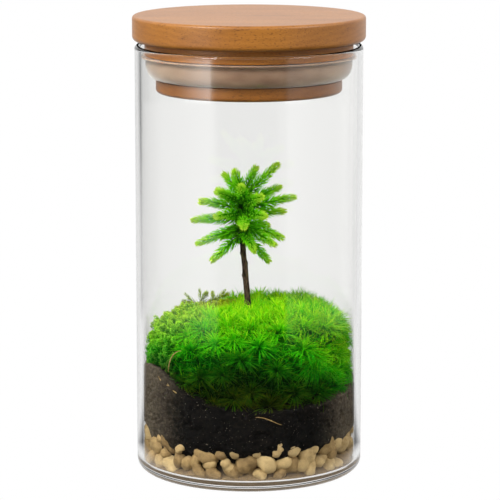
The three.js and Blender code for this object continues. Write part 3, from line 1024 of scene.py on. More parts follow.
# ---------- the ground ----------
@dataclass
class Ground:
    """The heights of gravel and soil in the jar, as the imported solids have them."""

    radius: float = 47.1 * MM
    floor: float = 4.8 * MM
    gravel_front: float = 14.9 * MM
    gravel_rise: float = 3 * MM
    gravel_run: float = 45 * MM
    stones_proud: float = 2.6 * MM
    middle: float = 42 * MM
    rim: float = 44 * MM
    rim_left: float = 2 * MM
    rim_back: float = 8.6 * MM
    bank: float = 9.5 * MM
    bank_at: float = 212
    bank_width: float = 22

    def stones_level(self, y: Array) -> Array:
        """Tops of the upper stones at places that far back: lowest along the front glass, and then rising."""
        back = np.clip((y + self.radius) / self.gravel_run, 0, 1)
        return self.gravel_front + self.gravel_rise * np.sin(back * math.pi / 2) + self.stones_proud

    def soil_at_glass(self, points: Array) -> Array:
        """The soil's height along the glass.

        It is higher at the back and the left, with a bank shaped like a bell curve at the left front.

        Args:
            points: Places, whose directions from the axis are used.

        Returns:
            The height at the glass in each direction.
        """
        x, y = points[..., 0], points[..., 1]
        reach = reach_of(points)
        from_bank = (np.degrees(np.arctan2(y, x)) - self.bank_at + 180) % 360 - 180
        bank = self.bank * bell(from_bank, self.bank_width)
        return self.rim - self.rim_left * x / reach + self.rim_back * y / reach + bank

    def soil_level(self, points: Array) -> Array:
        """The soil's top: its level in the middle, and out to the glass by the square of the reach.

        Args:
            points: Places, whose x and y are used.

        Returns:
            The height at each place.
        """
        out = np.minimum(reach_of(points) / self.radius, 1)
        lumps = 0.5 * MM * np.sin(points[..., 0] / MM * 0.43 + 1.3) * np.cos(points[..., 1] / MM * 0.39 - 0.4)
        return self.middle + (self.soil_at_glass(points) - self.middle) * out**2 + lumps


@dataclass
class Gravel:
    """Knobbly stones: staggered rows along the glass, grit behind them, and plainer stones on the floor."""

    ground: Ground
    seed: int = 7
    per_row: int = 34
    rows: int = 3
    row_reach: float = 43 * MM
    floor_stones: int = 80
    knobs: int = 5
    crease: int = 14
    reach: float = 46.9 * MM
    corner: float = 1.2 * MM
    bedded: float = 4.45 * MM
    settling: int = 60

    def build(self) -> None:
        """Builds the stones as one piece."""
        front = self.stones(*self.along_glass(), rings=13, sides=20, touching=True)
        under = self.stones(*self.inside(), rings=6, sides=10, touching=False)
        Surface.joined([front, under, self.grit()]).piece("gravel", Stone().make(), "gravel", ["gravel_bed"])

    def along_glass(self) -> tuple[Array, Array]:
        """The stones along the glass, in staggered rows, pushed apart where two lie too close.

        Returns:
            Their middles, and their mean half widths.
        """
        draw = np.random.default_rng(self.seed)
        row, place = np.divmod(np.arange(self.rows * self.per_row), self.per_row)
        angle = (place + 0.5 * (row % 2) + draw.uniform(-0.3, 0.3, len(row))) * 2 * math.pi / self.per_row
        size = (2.5 + 2.9 * draw.uniform(0, 1, len(row)) ** 0.8) * MM
        level = self.ground.stones_level(44 * MM * np.sin(angle))
        span = level - self.ground.floor
        height = self.ground.floor + span * (row + 0.5) / self.rows + draw.uniform(-0.8, 0.8, len(row)) * MM
        around = angle * self.row_reach
        lap = 2 * math.pi * self.row_reach
        for _ in range(self.settling):
            across = (around[:, None] - around[None] + lap / 2) % lap - lap / 2
            rise = height[:, None] - height[None]
            apart = np.hypot(across, rise) + np.eye(len(row))
            push = np.maximum((size[:, None] + size[None]) * 0.8 - apart, 0) / apart * 0.25
            np.fill_diagonal(push, 0)
            around = around + (push * across).sum(1)
            height = height + (push * rise).sum(1)
            height = np.clip(height, self.ground.floor + size * 0.58, level + 1.5 * MM - size * 0.5)
        return spun(around / self.row_reach) * self.row_reach + height[:, None] * UP, size

    def inside(self) -> tuple[Array, Array]:
        """The stones on the floor, in a sunflower pattern.

        Returns:
            Their middles, and their mean half widths.
        """
        draw = np.random.default_rng(self.seed + 1)
        index = np.arange(self.floor_stones)
        reach = 37 * MM * np.sqrt((index + 0.5) / len(index))
        flat = spun(index * GOLDEN_ANGLE) * reach[:, None]
        return flat + (self.ground.floor + 3.6 * MM) * UP, draw.uniform(4.2, 5.4, len(index)) * MM

    def grit(self) -> Surface:
        """A lumpy bed that fills the middle: flat and bedded on the glass below, its edge moved by noise.

        Returns:
            The bed, with no paint.
        """
        edge = [[45, 4], [46.4, 4.9], [46.6, 5.2], [45.2, 6], [43.5, 8], [42, 11], [41, 14]]
        outline = np.array([[20, 4], [38, 4], *edge, [20, 16]]) * MM
        points = hoops(outline[:, :1], outline[:, 1:], 120)
        lumps = Lumps(15, 3 * MM).at(points) * smoothstep(4 * MM, 9 * MM, outline[:, 1:])
        points = points + level_way(points) * lumps[..., None] * 1.4 * MM
        return skins(self.kept(points, self.bedded)[None], on_axis(self.bedded), on_axis(16 * MM))

    def kept(self, points: Array, floor: float) -> Array:
        """Moves points out of the glass wall, up to the floor, and out of the round corner between them.

        Args:
            points: Any points.
            floor: The least height.

        Returns:
            The points, moved where they have to be.
        """
        points = np.concatenate([points[..., :2], np.maximum(points[..., 2:], floor)], -1)
        below = np.clip(floor + self.corner - points[..., 2], 0, self.corner)
        limit = self.reach - self.corner + np.sqrt(self.corner**2 - below**2)
        return narrowed(points, np.minimum(limit / reach_of(points), 1))

    def stones(self, middles: Array, sizes: Array, rings: int, sides: int, touching: bool) -> Surface:
        """Stones as the common outline of a few balls that all hold the stone's middle.

        In a direction d, a ball of radius R round c ends at d.c + sqrt((d.c)^2 + R^2 - c^2). The stone's
        reach is a power mean of these, which leaves soft creases between the balls, times 1 + coarse and
        fine noise. A stone is then stretched, turned, and moved until it touches the glass or, inside, stays
        clear of it. What would reach into the glass, the floor or the corner between them is flattened on it.

        Args:
            middles: Stones x 3.
            sizes: Their mean half width.
            rings: Rings of points on a stone.
            sides: Points of a ring.
            touching: Whether the stones lie against the glass.

        Returns:
            One surface. Its paint is the stone's tone, and 1, which tells whole stones from grit.
        """
        count = len(middles)
        draw = np.random.default_rng(self.seed + rings)
        tilt = np.linspace(-math.pi / 2, math.pi / 2, rings + 2)[:, None]
        ball = hoops(np.cos(tilt), np.sin(tilt), sides)
        balls = (count, self.knobs)
        centre = unit(draw.normal(size=(*balls, 3))) * draw.uniform(0.48, 0.78, (*balls, 1))
        radius = draw.uniform(0.8, 0.94, (count, 1, 1, self.knobs))
        along = np.einsum("rsc,nkc->nrsk", ball, centre)
        ends = along + np.sqrt(along**2 + radius**2 - (centre**2).sum(-1)[:, None, None])
        reach = (ends**self.crease).mean(-1) ** (1 / self.crease)
        own = draw.uniform(-50, 50, (count, 1, 1, 3))
        reach = reach * (1 + 0.1 * Lumps(2, 0.4).at(ball + own) + 0.04 * Lumps(4, 0.19, 48).at(ball + own))
        reach = reach / reach.mean(axis=(1, 2), keepdims=True)
        stretch = [draw.uniform(low, high, count) for low, high in ((1.0, 1.3), (0.85, 1.05), (0.8, 1.0))]
        shape = ball * np.stack(stretch, -1)[:, None, None] * reach[..., None] * sizes[:, None, None, None]
        twist, _ = np.linalg.qr(draw.normal(size=(count, 3, 3)))
        twist *= np.sign(np.linalg.det(twist))[:, None, None]
        points = middles[:, None, None] + np.einsum("nrsc,ncd->nrsd", shape, twist)
        out = reach_of(points).max(axis=(1, 2)) - self.reach
        gap = draw.uniform(-0.9, 0.5, count) * MM
        inward = out + gap if touching else np.maximum(out, 0)
        points = self.kept(points - (level_way(middles) * inward[:, None])[:, None, None], self.ground.floor)
        tone = np.broadcast_to(draw.uniform(0, 1, (count, 1)), (count, rings * sides + 2))
        paint = np.stack([tone, np.ones_like(tone)], -1)
        return skins(points[:, 1:-1], points[:, 0, 0], points[:, -1, 0], paint)


@dataclass
class Soil:
    """Crumbly soil, pressed against the glass and running down between the upper stones."""

    ground: Ground
    wall: float = 47.05
    sides: int = 420

    def build(self) -> None:
        """Builds the body: under its edge, up the glass, and over its top.

        The outline is given by pairs (reach in mm, share), where share 0 is the stones' level and 1 the
        soil's top. Every point is then moved by crumb noise: inwards on the glass side, and up and down on
        the top. The lower edge is moved up and down by a coarser noise.
        """
        ground = self.ground
        low = [[10, -0.3], [25, -0.3], [36, -0.3], [40, -0.3], [42, -0.28], [43.4, -0.22], [44.6, -0.14]]
        low += [[45.6, -0.05], [46.3, 0.03], [46.8, 0.08]]
        side = [[self.wall, rise] for rise in np.linspace(0.1, 0.985, 60)]
        top = [[reach, 1] for reach in np.linspace(46.6, 3, 40)]
        outline = np.array(low + side + top)
        reach, share = outline[:, :1] * MM, outline[:, 1:]
        points = hoops(reach, 0 * reach, self.sides)
        bottom = ground.stones_level(points[..., 1]) - 1.2 * MM
        points[..., 2] = bottom + share * (ground.soil_level(points) - bottom)
        coarse, fine = Lumps(7, 2.6 * MM).at(points), Lumps(8, 1.0 * MM).at(points)
        crumbs = coarse * 0.55 + fine * 0.45
        wavy = 1.8 * MM * Lumps(9, 5 * MM).at(points) * (1 - smoothstep(0.05, 0.25, share))
        inward = np.maximum(-crumbs, 0) * 1.9 * MM * (reach > 44 * MM)
        points = narrowed(points, 1 - inward / reach)
        points[..., 2] += crumbs * np.where(share > 0.98, 0.7 * MM, 0.15 * MM) + wavy
        points[..., 2] = np.maximum(points[..., 2], ground.floor + 5 * MM)
        ends = on_axis(float(points[0, :, 2].mean())), on_axis(ground.middle)
        skins(points[None], *ends).piece("earth", Earth().make(), "soil", ["soil"])


# ---------- the tree ----------
@dataclass
class Tree:
    """The small tree: a barked trunk and a crown of bottle-brush shoots.

    The knots are the points that the trunk's line follows, in mm. The scars are pairs of a height, as a
    share of the trunk, and a direction round it.
    """

    crown: Array
    root_spread: float = 9.5 * MM
    needles_per_mm: float = 7.4
    heart_needles: int = 420
    seed: int = 21
    trunk_stations: int = 150
    trunk_foot: float = 1.5
    trunk_end: float = 1.08
    knots: tuple = (
        (0.8, 1, 32),
        (0.2, 0.3, 62),
        (-0.4, 0, 73),
        (-1.5, 0, 86),
        (-2.7, 0, 100),
        (-2.7, 0, 123),
    )
    scars: tuple = ((0.47, 3.0), (0.52, 0.3), (0.6, 3.3), (0.66, 0.1), (0.71, 3.1), (0.56, 4.9))

    def build(self, frame: dict) -> None:
        """Builds the trunk, a shoot for each shoot solid of the frame, and the shaded heart of the crown.

        Args:
            frame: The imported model.
        """
        self.trunk().piece("trunk", Bark().make(), "bark", ["tree_trunk"])
        finish = Leaf("fresh_needles", (1, 52, 2), (128, 240, 4), (236, 255, 84), (238, 255, 104), 0.6).make()
        names = sorted(name for name in frame["nodes"] if name.startswith("tree_shoot_"))
        for number, name in enumerate(names):
            tip = self.tip_of(frame["nodes"][name])
            shoot = self.shoot(tip, np.random.default_rng(self.seed + number))
            shoot.piece(name.replace("tree_", ""), finish, "needles", [name])
        heart = Brushes(
            start=(self.crown - UP * 14 * MM)[None],
            tip=(self.crown + UP * 13 * MM)[None],
            arch=np.zeros((1, 3)),
            tone=np.zeros(1),
            leaves=self.heart_needles,
            leaf_length=(6.0 * MM, 4.6 * MM),
            leaf_width=0.6 * MM,
            lean=(75, 45, 10),
            stem=0.5 * MM,
        ).surface(np.random.default_rng(self.seed - 1))
        heart.paint *= [0, 0.3]
        heart.piece("crown_heart", finish, "needles")

    def tip_of(self, solid: bpy.types.Object) -> Array:
        """Finds where a shoot ends.

        Args:
            solid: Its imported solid.

        Returns:
            A place a little short of the middle of the solid's furthest points.
        """
        points = np.zeros(len(solid.data.vertices) * 3)
        solid.data.vertices.foreach_get("co", points)
        points = np.unique(points.reshape(-1, 3).round(6), axis=0)
        away = np.linalg.norm(points - self.crown, axis=1)
        end = points[np.argsort(away)[-6:]].mean(axis=0)
        return end - unit(end - self.crown) * 1.6 * MM

    def trunk(self) -> Surface:
        """A tube along a smoothed line through a few points, ridged along its length, with small scars.

        radius = taper (1 + 0.12 ridge noise) + 0.35 mm at each scar, by a bell curve round its height.

        Returns:
            The trunk.
        """
        knots = np.array(self.knots)
        height = np.linspace(knots[0, 2], knots[-1, 2], self.trunk_stations)
        bends = [np.interp(height, knots[:, 2], knots[:, axis]) for axis in range(2)]
        bends = [np.convolve(np.pad(bend, 6, mode="edge"), np.ones(13) / 13, mode="valid") for bend in bends]
        path = np.stack([*bends, height], -1)[None] * MM
        share = np.linspace(0, 1, self.trunk_stations)[1:-1, None]
        taper = blended(self.trunk_foot, self.trunk_end, share**1.6) + 0.35 * np.exp(-share * 7)
        ridges = Lumps(3, 0.55).at(hoops(np.ones_like(share), share * 12, 20))
        scars = sum(
            0.35 * bell(share - at, 0.008) * np.maximum(np.cos(turns(20) - way), 0) ** 3
            for at, way in self.scars
        )
        radius = (taper * (1 + 0.12 * ridges) + scars) * MM
        sections = (radius[..., None] * circle(20))[None]
        return swept(path, np.array([[0.0, 1.0, 0.0]]), sections, np.zeros((1, self.trunk_stations, 2)))

    def shoot(self, tip: Array, draw: np.random.Generator) -> Surface:
        """Grows a needled shoot from the trunk, raised in its middle and blunt at its end.

        Args:
            tip: Where it ends.
            draw: Random draws.

        Returns:
            The shoot.
        """
        root = self.crown + UP * self.root_spread * unit(tip - self.crown)[2]
        start = root + unit(tip - root) * 0.4 * MM
        return Brushes(
            start=start[None],
            tip=tip[None],
            arch=UP[None] * 1.1 * MM,
            tone=draw.uniform(0, 0.6, 1),
            leaves=int(float(np.linalg.norm(tip - start)) / MM * self.needles_per_mm),
            leaf_length=(4.4 * MM, 2.8 * MM),
            leaf_width=0.64 * MM,
            lean=(64, 48, 30),
            stem=0.75 * MM,
        ).surface(draw)


# ---------- the mosses ----------
class Kind(Enum):
    """The kinds of moss, by the start of their solids' names."""

    CUSHION = "cushion_moss"
    FEATHER = "feather_moss"
    SPRIG = "sprig_moss"


@dataclass
class Moss:
    """The mound of moss, in plots: starry cushion moss, feather moss at the left, twigs behind it.

    The plots lie on three rings, each given by its reach in mm, its number of plots and its first direction
    in degrees. The twigs are pairs of a start and an end, in mm.
    """

    ground: Ground
    radius: float = 42.4 * MM
    sunk: float = 3 * MM
    top: float = 70.7 * MM
    rise: float = 25 * MM
    back_rise: float = -0.8 * MM
    right_rise: float = 2.8 * MM
    dip: float = 5 * MM
    dip_at: float = 130
    dip_width: float = 26
    limit: float = 47.0 * MM
    soft: float = 2.5 * MM
    tufts: int = 120
    leaves: int = 140
    thatch_leaves: int = 11000
    feather_ways: int = 4200
    core_paint: tuple[float, float] = (0.0, 0.1)
    seed: int = 41
    plot_rings: tuple = ((34, 12, 29), (17, 5, 1), (0, 1, 0))
    outer_twigs: tuple = (
        ((-32, 15, 67), (-22, 15, 71)),
        ((-24, 15, 70), (-14, 14, 73)),
        ((-22, 15, 69), (-28.8, 15, 75)),
        ((-20.3, 14, 68.5), (-22.3, 14, 77)),
        ((-26, 15, 71), (-29.8, 15, 71.5)),
        ((-21, 14, 72.5), (-19.4, 14, 75.5)),
        ((-29, 15, 68), (-33, 14, 69)),
    )
    inner_twigs: tuple = (
        ((-18, 13, 70), (-11, 12, 77.2)),
        ((-15.6, 12, 71.5), (-16.4, 12, 76.2)),
        ((-13, 12, 74), (-9.8, 12, 75.4)),
        ((-17, 12, 68), (-12, 12, 72)),
        ((-13.6, 12, 72.5), (-10, 12, 72)),
    )
    # painted shade for the leaves: heights in mm and colours to multiply by, darker low down
    shades: tuple = (
        (20, (0.16, 0.12, 0.12)),
        (24.5, (0.13, 0.13, 0.22)),
        (28.5, (0.08, 0.17, 0.35)),
        (33, (0.04, 0.25, 0.45)),
        (38, (0.07, 0.5, 0.65)),
        (43.5, (0.25, 0.94, 0.9)),
        (50, (0.66, 1.0, 1.0)),
        (58, (0.9, 1.0, 1.0)),
        (67, (1.0, 1.0, 1.0)),
    )

    def plots(self) -> list[tuple[Array, Kind, str]]:
        """Lays out the plots.

        Returns:
            Middle, kind and solid of each plot, in the order that the solids are numbered.
        """
        found, count = [], {kind: 0 for kind in Kind}
        for reach, number, first in self.plot_rings:
            for degrees in first + np.arange(number) * 360 / number:
                kind = Kind.CUSHION
                if reach > 30 and 160 < degrees < 220:
                    kind = Kind.FEATHER
                elif reach > 0 and 140 < degrees < 150:
                    kind = Kind.SPRIG
                count[kind] += 1
                middle = spun(np.radians(degrees)) * reach * MM
                found.append((middle, kind, f"{kind.value}_{count[kind]:02d}"))
        return found

    def nearest(self, points: Array) -> Array:
        """The number of the plot that each point stands in."""
        middles = np.array([middle for middle, _, _ in self.plots()])
        return np.linalg.norm(points[:, None, :2] - middles[None, :, :2], axis=-1).argmin(axis=1)

    def outline(self, share: Array) -> tuple[Array, Array]:
        """Half the mound's outline: a cubic curve from the middle of its top to its foot.

        Args:
            share: Shares of the curve's length.

        Returns:
            The reach, and the height over the foot, at each share.
        """
        t = np.linspace(0, 1, 200)[:, None]
        a, b, d = np.array([[0, self.rise], [self.radius, self.rise], [self.radius, 0]])
        curve = (1 - t) ** 3 * a + 3 * t * (1 - t) ** 2 * b + 3 * t**2 * (1 - t) * b + t**3 * d
        run = np.concatenate([[0], np.cumsum(np.linalg.norm(np.diff(curve, axis=0), axis=1))])
        place = np.clip(share, 0, 1) * run[-1]
        return np.interp(place, run, curve[:, 0]), np.interp(place, run, curve[:, 1])

    def foot(self, ways: Array) -> Array:
        """Where leaves stand.

        The angle from straight up picks a place on the outline, which is stretched between the rim, a
        little under the soil at the glass, and the top. The top is tilted up to the front and the right, and
        dips behind the feather moss, where the twigs stand.

        Args:
            ways: Directions from the middle of the soil.

        Returns:
            The place on the mound in each direction.
        """
        angle = np.arctan2(ways[..., 1], ways[..., 0])
        around = spun(angle)
        reach, height = self.outline(np.arccos(np.clip(ways[..., 2], -1, 1)) / (math.pi / 2))
        rim = self.ground.soil_at_glass(around) - self.sunk
        tilt = self.back_rise * around[..., 1] + self.right_rise * around[..., 0]
        dip = self.dip * bell(np.degrees(angle) - self.dip_at, self.dip_width)
        top = self.top + (tilt - dip) * reach / self.radius
        return around * reach[..., None] + (rim + (top - rim) * height / self.rise)[..., None] * UP

    def normal(self, ways: Array, step: float = 0.03) -> Array:
        """The mound's outward direction, from two small steps across each way.

        Args:
            ways: Directions from the middle of the soil.
            step: Length of a step.

        Returns:
            Unit vectors.
        """
        across = unit(np.cross(UP + 1e-3, ways))
        rise = np.cross(ways, across)
        here = self.foot(ways)
        aside = self.foot(unit(ways + across * step)) - here
        return unit(np.cross(aside, self.foot(unit(ways + rise * step)) - here))

    def within(self, points: Array) -> Array:
        """Bends points in before the glass: past limit - soft, r becomes limit - soft e^(-(r - r0) / soft).

        Args:
            points: Any points.

        Returns:
            The points, all inside the limit.
        """
        reach = reach_of(points)
        start = self.limit - self.soft
        bent = self.limit - self.soft * np.exp(-np.maximum(reach - start, 0) / self.soft)
        return narrowed(points, np.where(reach > start, bent, reach) / reach)

    def spread(self, count: int, lowest: float = 0.0) -> Array:
        """Directions spread evenly over the upper half of a sphere, by the golden angle."""
        height = 1 - (np.arange(count) + 0.5) / count * (1 - lowest)
        return spun(np.arange(count) * GOLDEN_ANGLE) * np.sqrt(1 - height**2)[:, None] + height[:, None] * UP

    def tufted(self) -> Blades:
        """Fountains of long fine leaves.

        A tuft's axis lies between the mound's normal and straight up. A leaf starts along axis cos a +
        outward sin a, and the flatter it lies, the longer it is and the more it bends out and down. The
        upright leaves of a tuft are young, and light from the root.

        Returns:
            The leaves of all the tufts.
        """
        draw = np.random.default_rng(self.seed)
        ways = unit(self.spread(self.tufts) + draw.normal(0, 0.035, (self.tufts, 3)))
        vigour = draw.uniform(0.8, 1.15, self.tufts)
        normal = self.normal(ways)
        axis = unit(normal * 0.5 + UP * 0.85 + draw.normal(0, 0.12, (self.tufts, 3)))
        middle = self.foot(ways) - normal * 1.4 * MM
        hue = draw.uniform(0, 0.7, self.tufts)
        tuft = np.repeat(np.arange(self.tufts), self.leaves)
        middle, axis, vigour, hue = middle[tuft], axis[tuft], vigour[tuft], hue[tuft]
        count = len(middle)
        across = unit(np.cross(UP + [0.02, 0.01, 0], axis))
        turn = draw.uniform(0, 2 * math.pi, (count, 1))
        outward = across * np.cos(turn) + np.cross(axis, across) * np.sin(turn)
        lean = np.arccos(draw.uniform(0.06, 1.0, count) ** 0.75)[:, None]
        flat = np.sin(lean)
        length = (6.4 + 3.2 * flat[:, 0]) * vigour * draw.uniform(0.7, 1.12, count) * MM
        young = 0.55 - flat[:, 0] * 0.6 + draw.uniform(-0.1, 0.15, count)
        return Blades(
            roots=middle
            + outward * flat * draw.uniform(0.2, 1.6, (count, 1)) * MM
            + axis * (1 - flat) * 1.6 * MM,
            ahead=axis * np.cos(lean) + outward * flat,
            bend=outward * draw.uniform(0.05, 0.3, (count, 1)) - UP * (0.06 + 0.4 * flat),
            upward=axis + outward * 0.01,
            length=length,
            width=draw.uniform(0.34, 0.5, count) * MM,
            tone=np.clip(hue + draw.uniform(0, 0.3, count), 0, 1),
            ages=np.stack([np.clip(young, 0, 0.7), draw.uniform(0.6, 1.1, count)], -1),
        )

    def thatch(self) -> Blades:
        """Shorter leaves all over the mound, which fill the ground between the tufts.

        Returns:
            The leaves.
        """
        draw = np.random.default_rng(self.seed + 1)
        count = self.thatch_leaves
        ways = unit(self.spread(count, -0.03) + draw.normal(0, 0.02, (count, 3)))
        normal = self.normal(ways)
        return Blades(
            roots=self.foot(ways) - normal * 1.2 * MM,
            ahead=unit(normal * 0.75 + UP * 0.5 + draw.normal(0, 0.42, (count, 3))),
            bend=draw.normal(0, 0.14, (count, 3)) - UP * 0.16,
            upward=unit(draw.normal(0, 1, (count, 3))),
            length=draw.uniform(4.4, 7.4, count) * MM,
            width=draw.uniform(0.34, 0.52, count) * MM,
            tone=draw.uniform(0, 0.35, count),
            ages=np.stack([np.zeros(count), draw.uniform(0.5, 1.1, count)], -1),
        )

    def feathers(self, number: int, count: int, draw: np.random.Generator) -> Surface:
        """Short leafy shoots of feather moss, which lean up and outwards all over a plot.

        Args:
            number: The plot's number.
            count: How many shoots.
            draw: Random draws.

        Returns:
            Stems and leaflets.
        """
        ways = unit(self.spread(self.feather_ways, -0.05) + draw.normal(0, 0.01, (self.feather_ways, 3)))
        own = np.flatnonzero(self.nearest(self.foot(ways)) == number)
        ways = ways[draw.permutation(own)[:count]]
        count = len(ways)
        normal = self.normal(ways)
        lumps = Lumps(17, 5 * MM).at(self.foot(ways))[:, None] * 1.8
        start = self.foot(ways) + normal * (draw.uniform(-2.6, -0.4, (count, 1)) + lumps) * MM
        way = unit(normal * 0.8 + UP * 0.4 + draw.normal(0, 0.55, (count, 3)))
        length = draw.uniform(3.6, 6.0, (count, 1)) * MM
        return Brushes(
            start=start,
            tip=start + way * length + draw.normal(0, 0.1, (count, 3)) * length,
            arch=UP * length * 0.12,
            tone=draw.uniform(0, 1, count),
            leaves=22,
            leaf_length=(2.3 * MM, 1.3 * MM),
            leaf_width=0.68 * MM,
            lean=(72, 56, 26),
            stem=0.28 * MM,
            joints=3,
        ).surface(draw)

    def twigs(self, start: Array, end: Array, draw: np.random.Generator) -> Surface:
        """Slim leafy twigs.

        Args:
            start: Where the twigs start.
            end: Where they end.
            draw: Random draws.

        Returns:
            Stems and leaves.
        """
        return Brushes(
            start=start,
            tip=end,
            arch=draw.normal(0, 0.35, start.shape) * MM,
            tone=draw.uniform(0, 1, len(start)),
            leaves=30,
            leaf_length=(2.7 * MM, 1.7 * MM),
            leaf_width=0.4 * MM,
            lean=(52, 40, 20),
            stem=0.3 * MM,
            joints=3,
        ).surface(draw)

    def core(self) -> Surface:
        """The shaded mound under the leaves: the foot surface drawn in, lumped by noise and closed below.

        Returns:
            The mound, with its paint.
        """
        tilt = np.radians(np.linspace(96, 4, 26))[:, None]
        points = self.foot(hoops(np.sin(tilt), np.cos(tilt), 96))
        lumps = Lumps(12, 4 * MM).at(points)[..., None]
        points = points * [0.93, 0.93, 1] - UP * 2.4 * MM + level_way(points) * lumps * 0.8 * MM
        points[0, :, 2] -= 6 * MM
        core = skins(points[None], on_axis(32 * MM), on_axis(self.top - 2.4 * MM))
        core.paint[:] = self.core_paint
        return core

    def finishes(self) -> dict[Kind, bpy.types.Material]:
        """The leaf finishes.

        Returns:
            The material of each kind of moss.
        """
        cushion = (6, 64, 2), (104, 236, 2), (218, 255, 36), (206, 255, 8), 0.3
        feather = (16, 56, 2), (118, 204, 8), (224, 255, 84), (204, 240, 40), 0.45
        sprig = (126, 134, 14), (196, 222, 26), (244, 255, 96), (206, 222, 40), 0.5
        return {
            Kind.CUSHION: Leaf("cushion_moss_leaf", *cushion, self.shades, lean=0.09, flank=0.11).make(),
            Kind.FEATHER: Leaf("feather_moss_leaf", *feather, self.shades).make(),
            Kind.SPRIG: Leaf("sprig_moss_leaf", *sprig, self.shades).make(),
        }

    def build(self) -> None:
        """Builds the shaded mound, and one piece of leaves for each plot."""
        finishes = self.finishes()
        self.core().piece("moss_mound", finishes[Kind.CUSHION], "cushion_moss")
        leaves = [self.tufted(), self.thatch()]
        nearest = [self.nearest(each.roots) for each in leaves]
        for number, (middle, kind, name) in enumerate(self.plots()):
            draw = np.random.default_rng(self.seed + 10 + number)
            surfaces = []
            if kind is not Kind.FEATHER:
                chosen = list(zip(leaves, nearest))[0 if kind is Kind.CUSHION else 1 :]
                surfaces = [each.picked(near == number).surface() for each, near in chosen]
            if kind is not Kind.CUSHION:
                surfaces.append(self.feathers(number, 170 if kind is Kind.FEATHER else 40, draw))
            if kind is Kind.SPRIG:
                twigs = self.outer_twigs if reach_of(middle) > 25 * MM else self.inner_twigs
                surfaces.append(self.twigs(*np.array(twigs).swapaxes(0, 1) * MM, draw))
            surface = Surface.joined(surfaces)
            surface.points = self.within(surface.points)
            surface.piece(name.replace("_moss", ""), finishes[kind], kind.value, [name])


# ---------- loose bits ----------
@dataclass
class Litter:
    """Straws and rootlets that lie on the moss and the soil.

    A strand is given by its points, each (turn in degrees, height, depth behind the glass), and its
    thickness, all lengths in mm.
    """

    reach: float = 47.0 * MM
    strands: tuple = (
        (((232.5, 60.5, 0.3), (228, 59, 0.1), (224.5, 55, 0.05), (223.2, 49.5, 0.1)), 0.45),
        (((273, 33.4, 0.0), (278, 33, 0.0), (283, 31.2, 0.0), (287.3, 29.6, 0.0)), 0.4),
        (((222, 45, 0.3), (226, 42.5, 0.2), (231, 41, 0.3)), 0.35),
        (((214, 47, 0.4), (219, 44.5, 0.2), (224, 44, 0.4)), 0.3),
    )

    def strand(self, points: Sequence[tuple[float, float, float]], thick: float) -> Surface:
        """A thin stalk along a smooth curve, a polynomial of up to the third degree in each number.

        Args:
            points: (turn in degrees, height, depth) of a few points on it.
            thick: Its thickness in mm.

        Returns:
            The stalk.
        """
        share, fine = np.linspace(0, 1, len(points)), np.linspace(0, 1, 24)
        degree = min(3, len(points) - 1)
        curves = [np.polyfit(share, line, degree) for line in np.array(points).T]
        turn, height, depth = (np.polyval(curve, fine) for curve in curves)
        path = spun(np.radians(turn)) * (self.reach - depth[:, None] * MM) + height[:, None] * MM * UP
        swell = np.sin(np.pi * (0.12 + 0.76 * fine[1:-1]))[:, None, None]
        paint = np.stack([0 * fine, fine], -1)[None]
        return swept(path[None], unit(path[:1]), (circle(6) * thick * MM / 2 * swell)[None], paint)

    def build(self) -> None:
        """Builds the strands as one piece."""
        straw = Bark("pale_straw", ridge=srgb(214, 186, 120), crack=srgb(150, 118, 66)).make()
        Surface.joined([self.strand(*each) for each in self.strands]).piece("straw", straw, "bark")


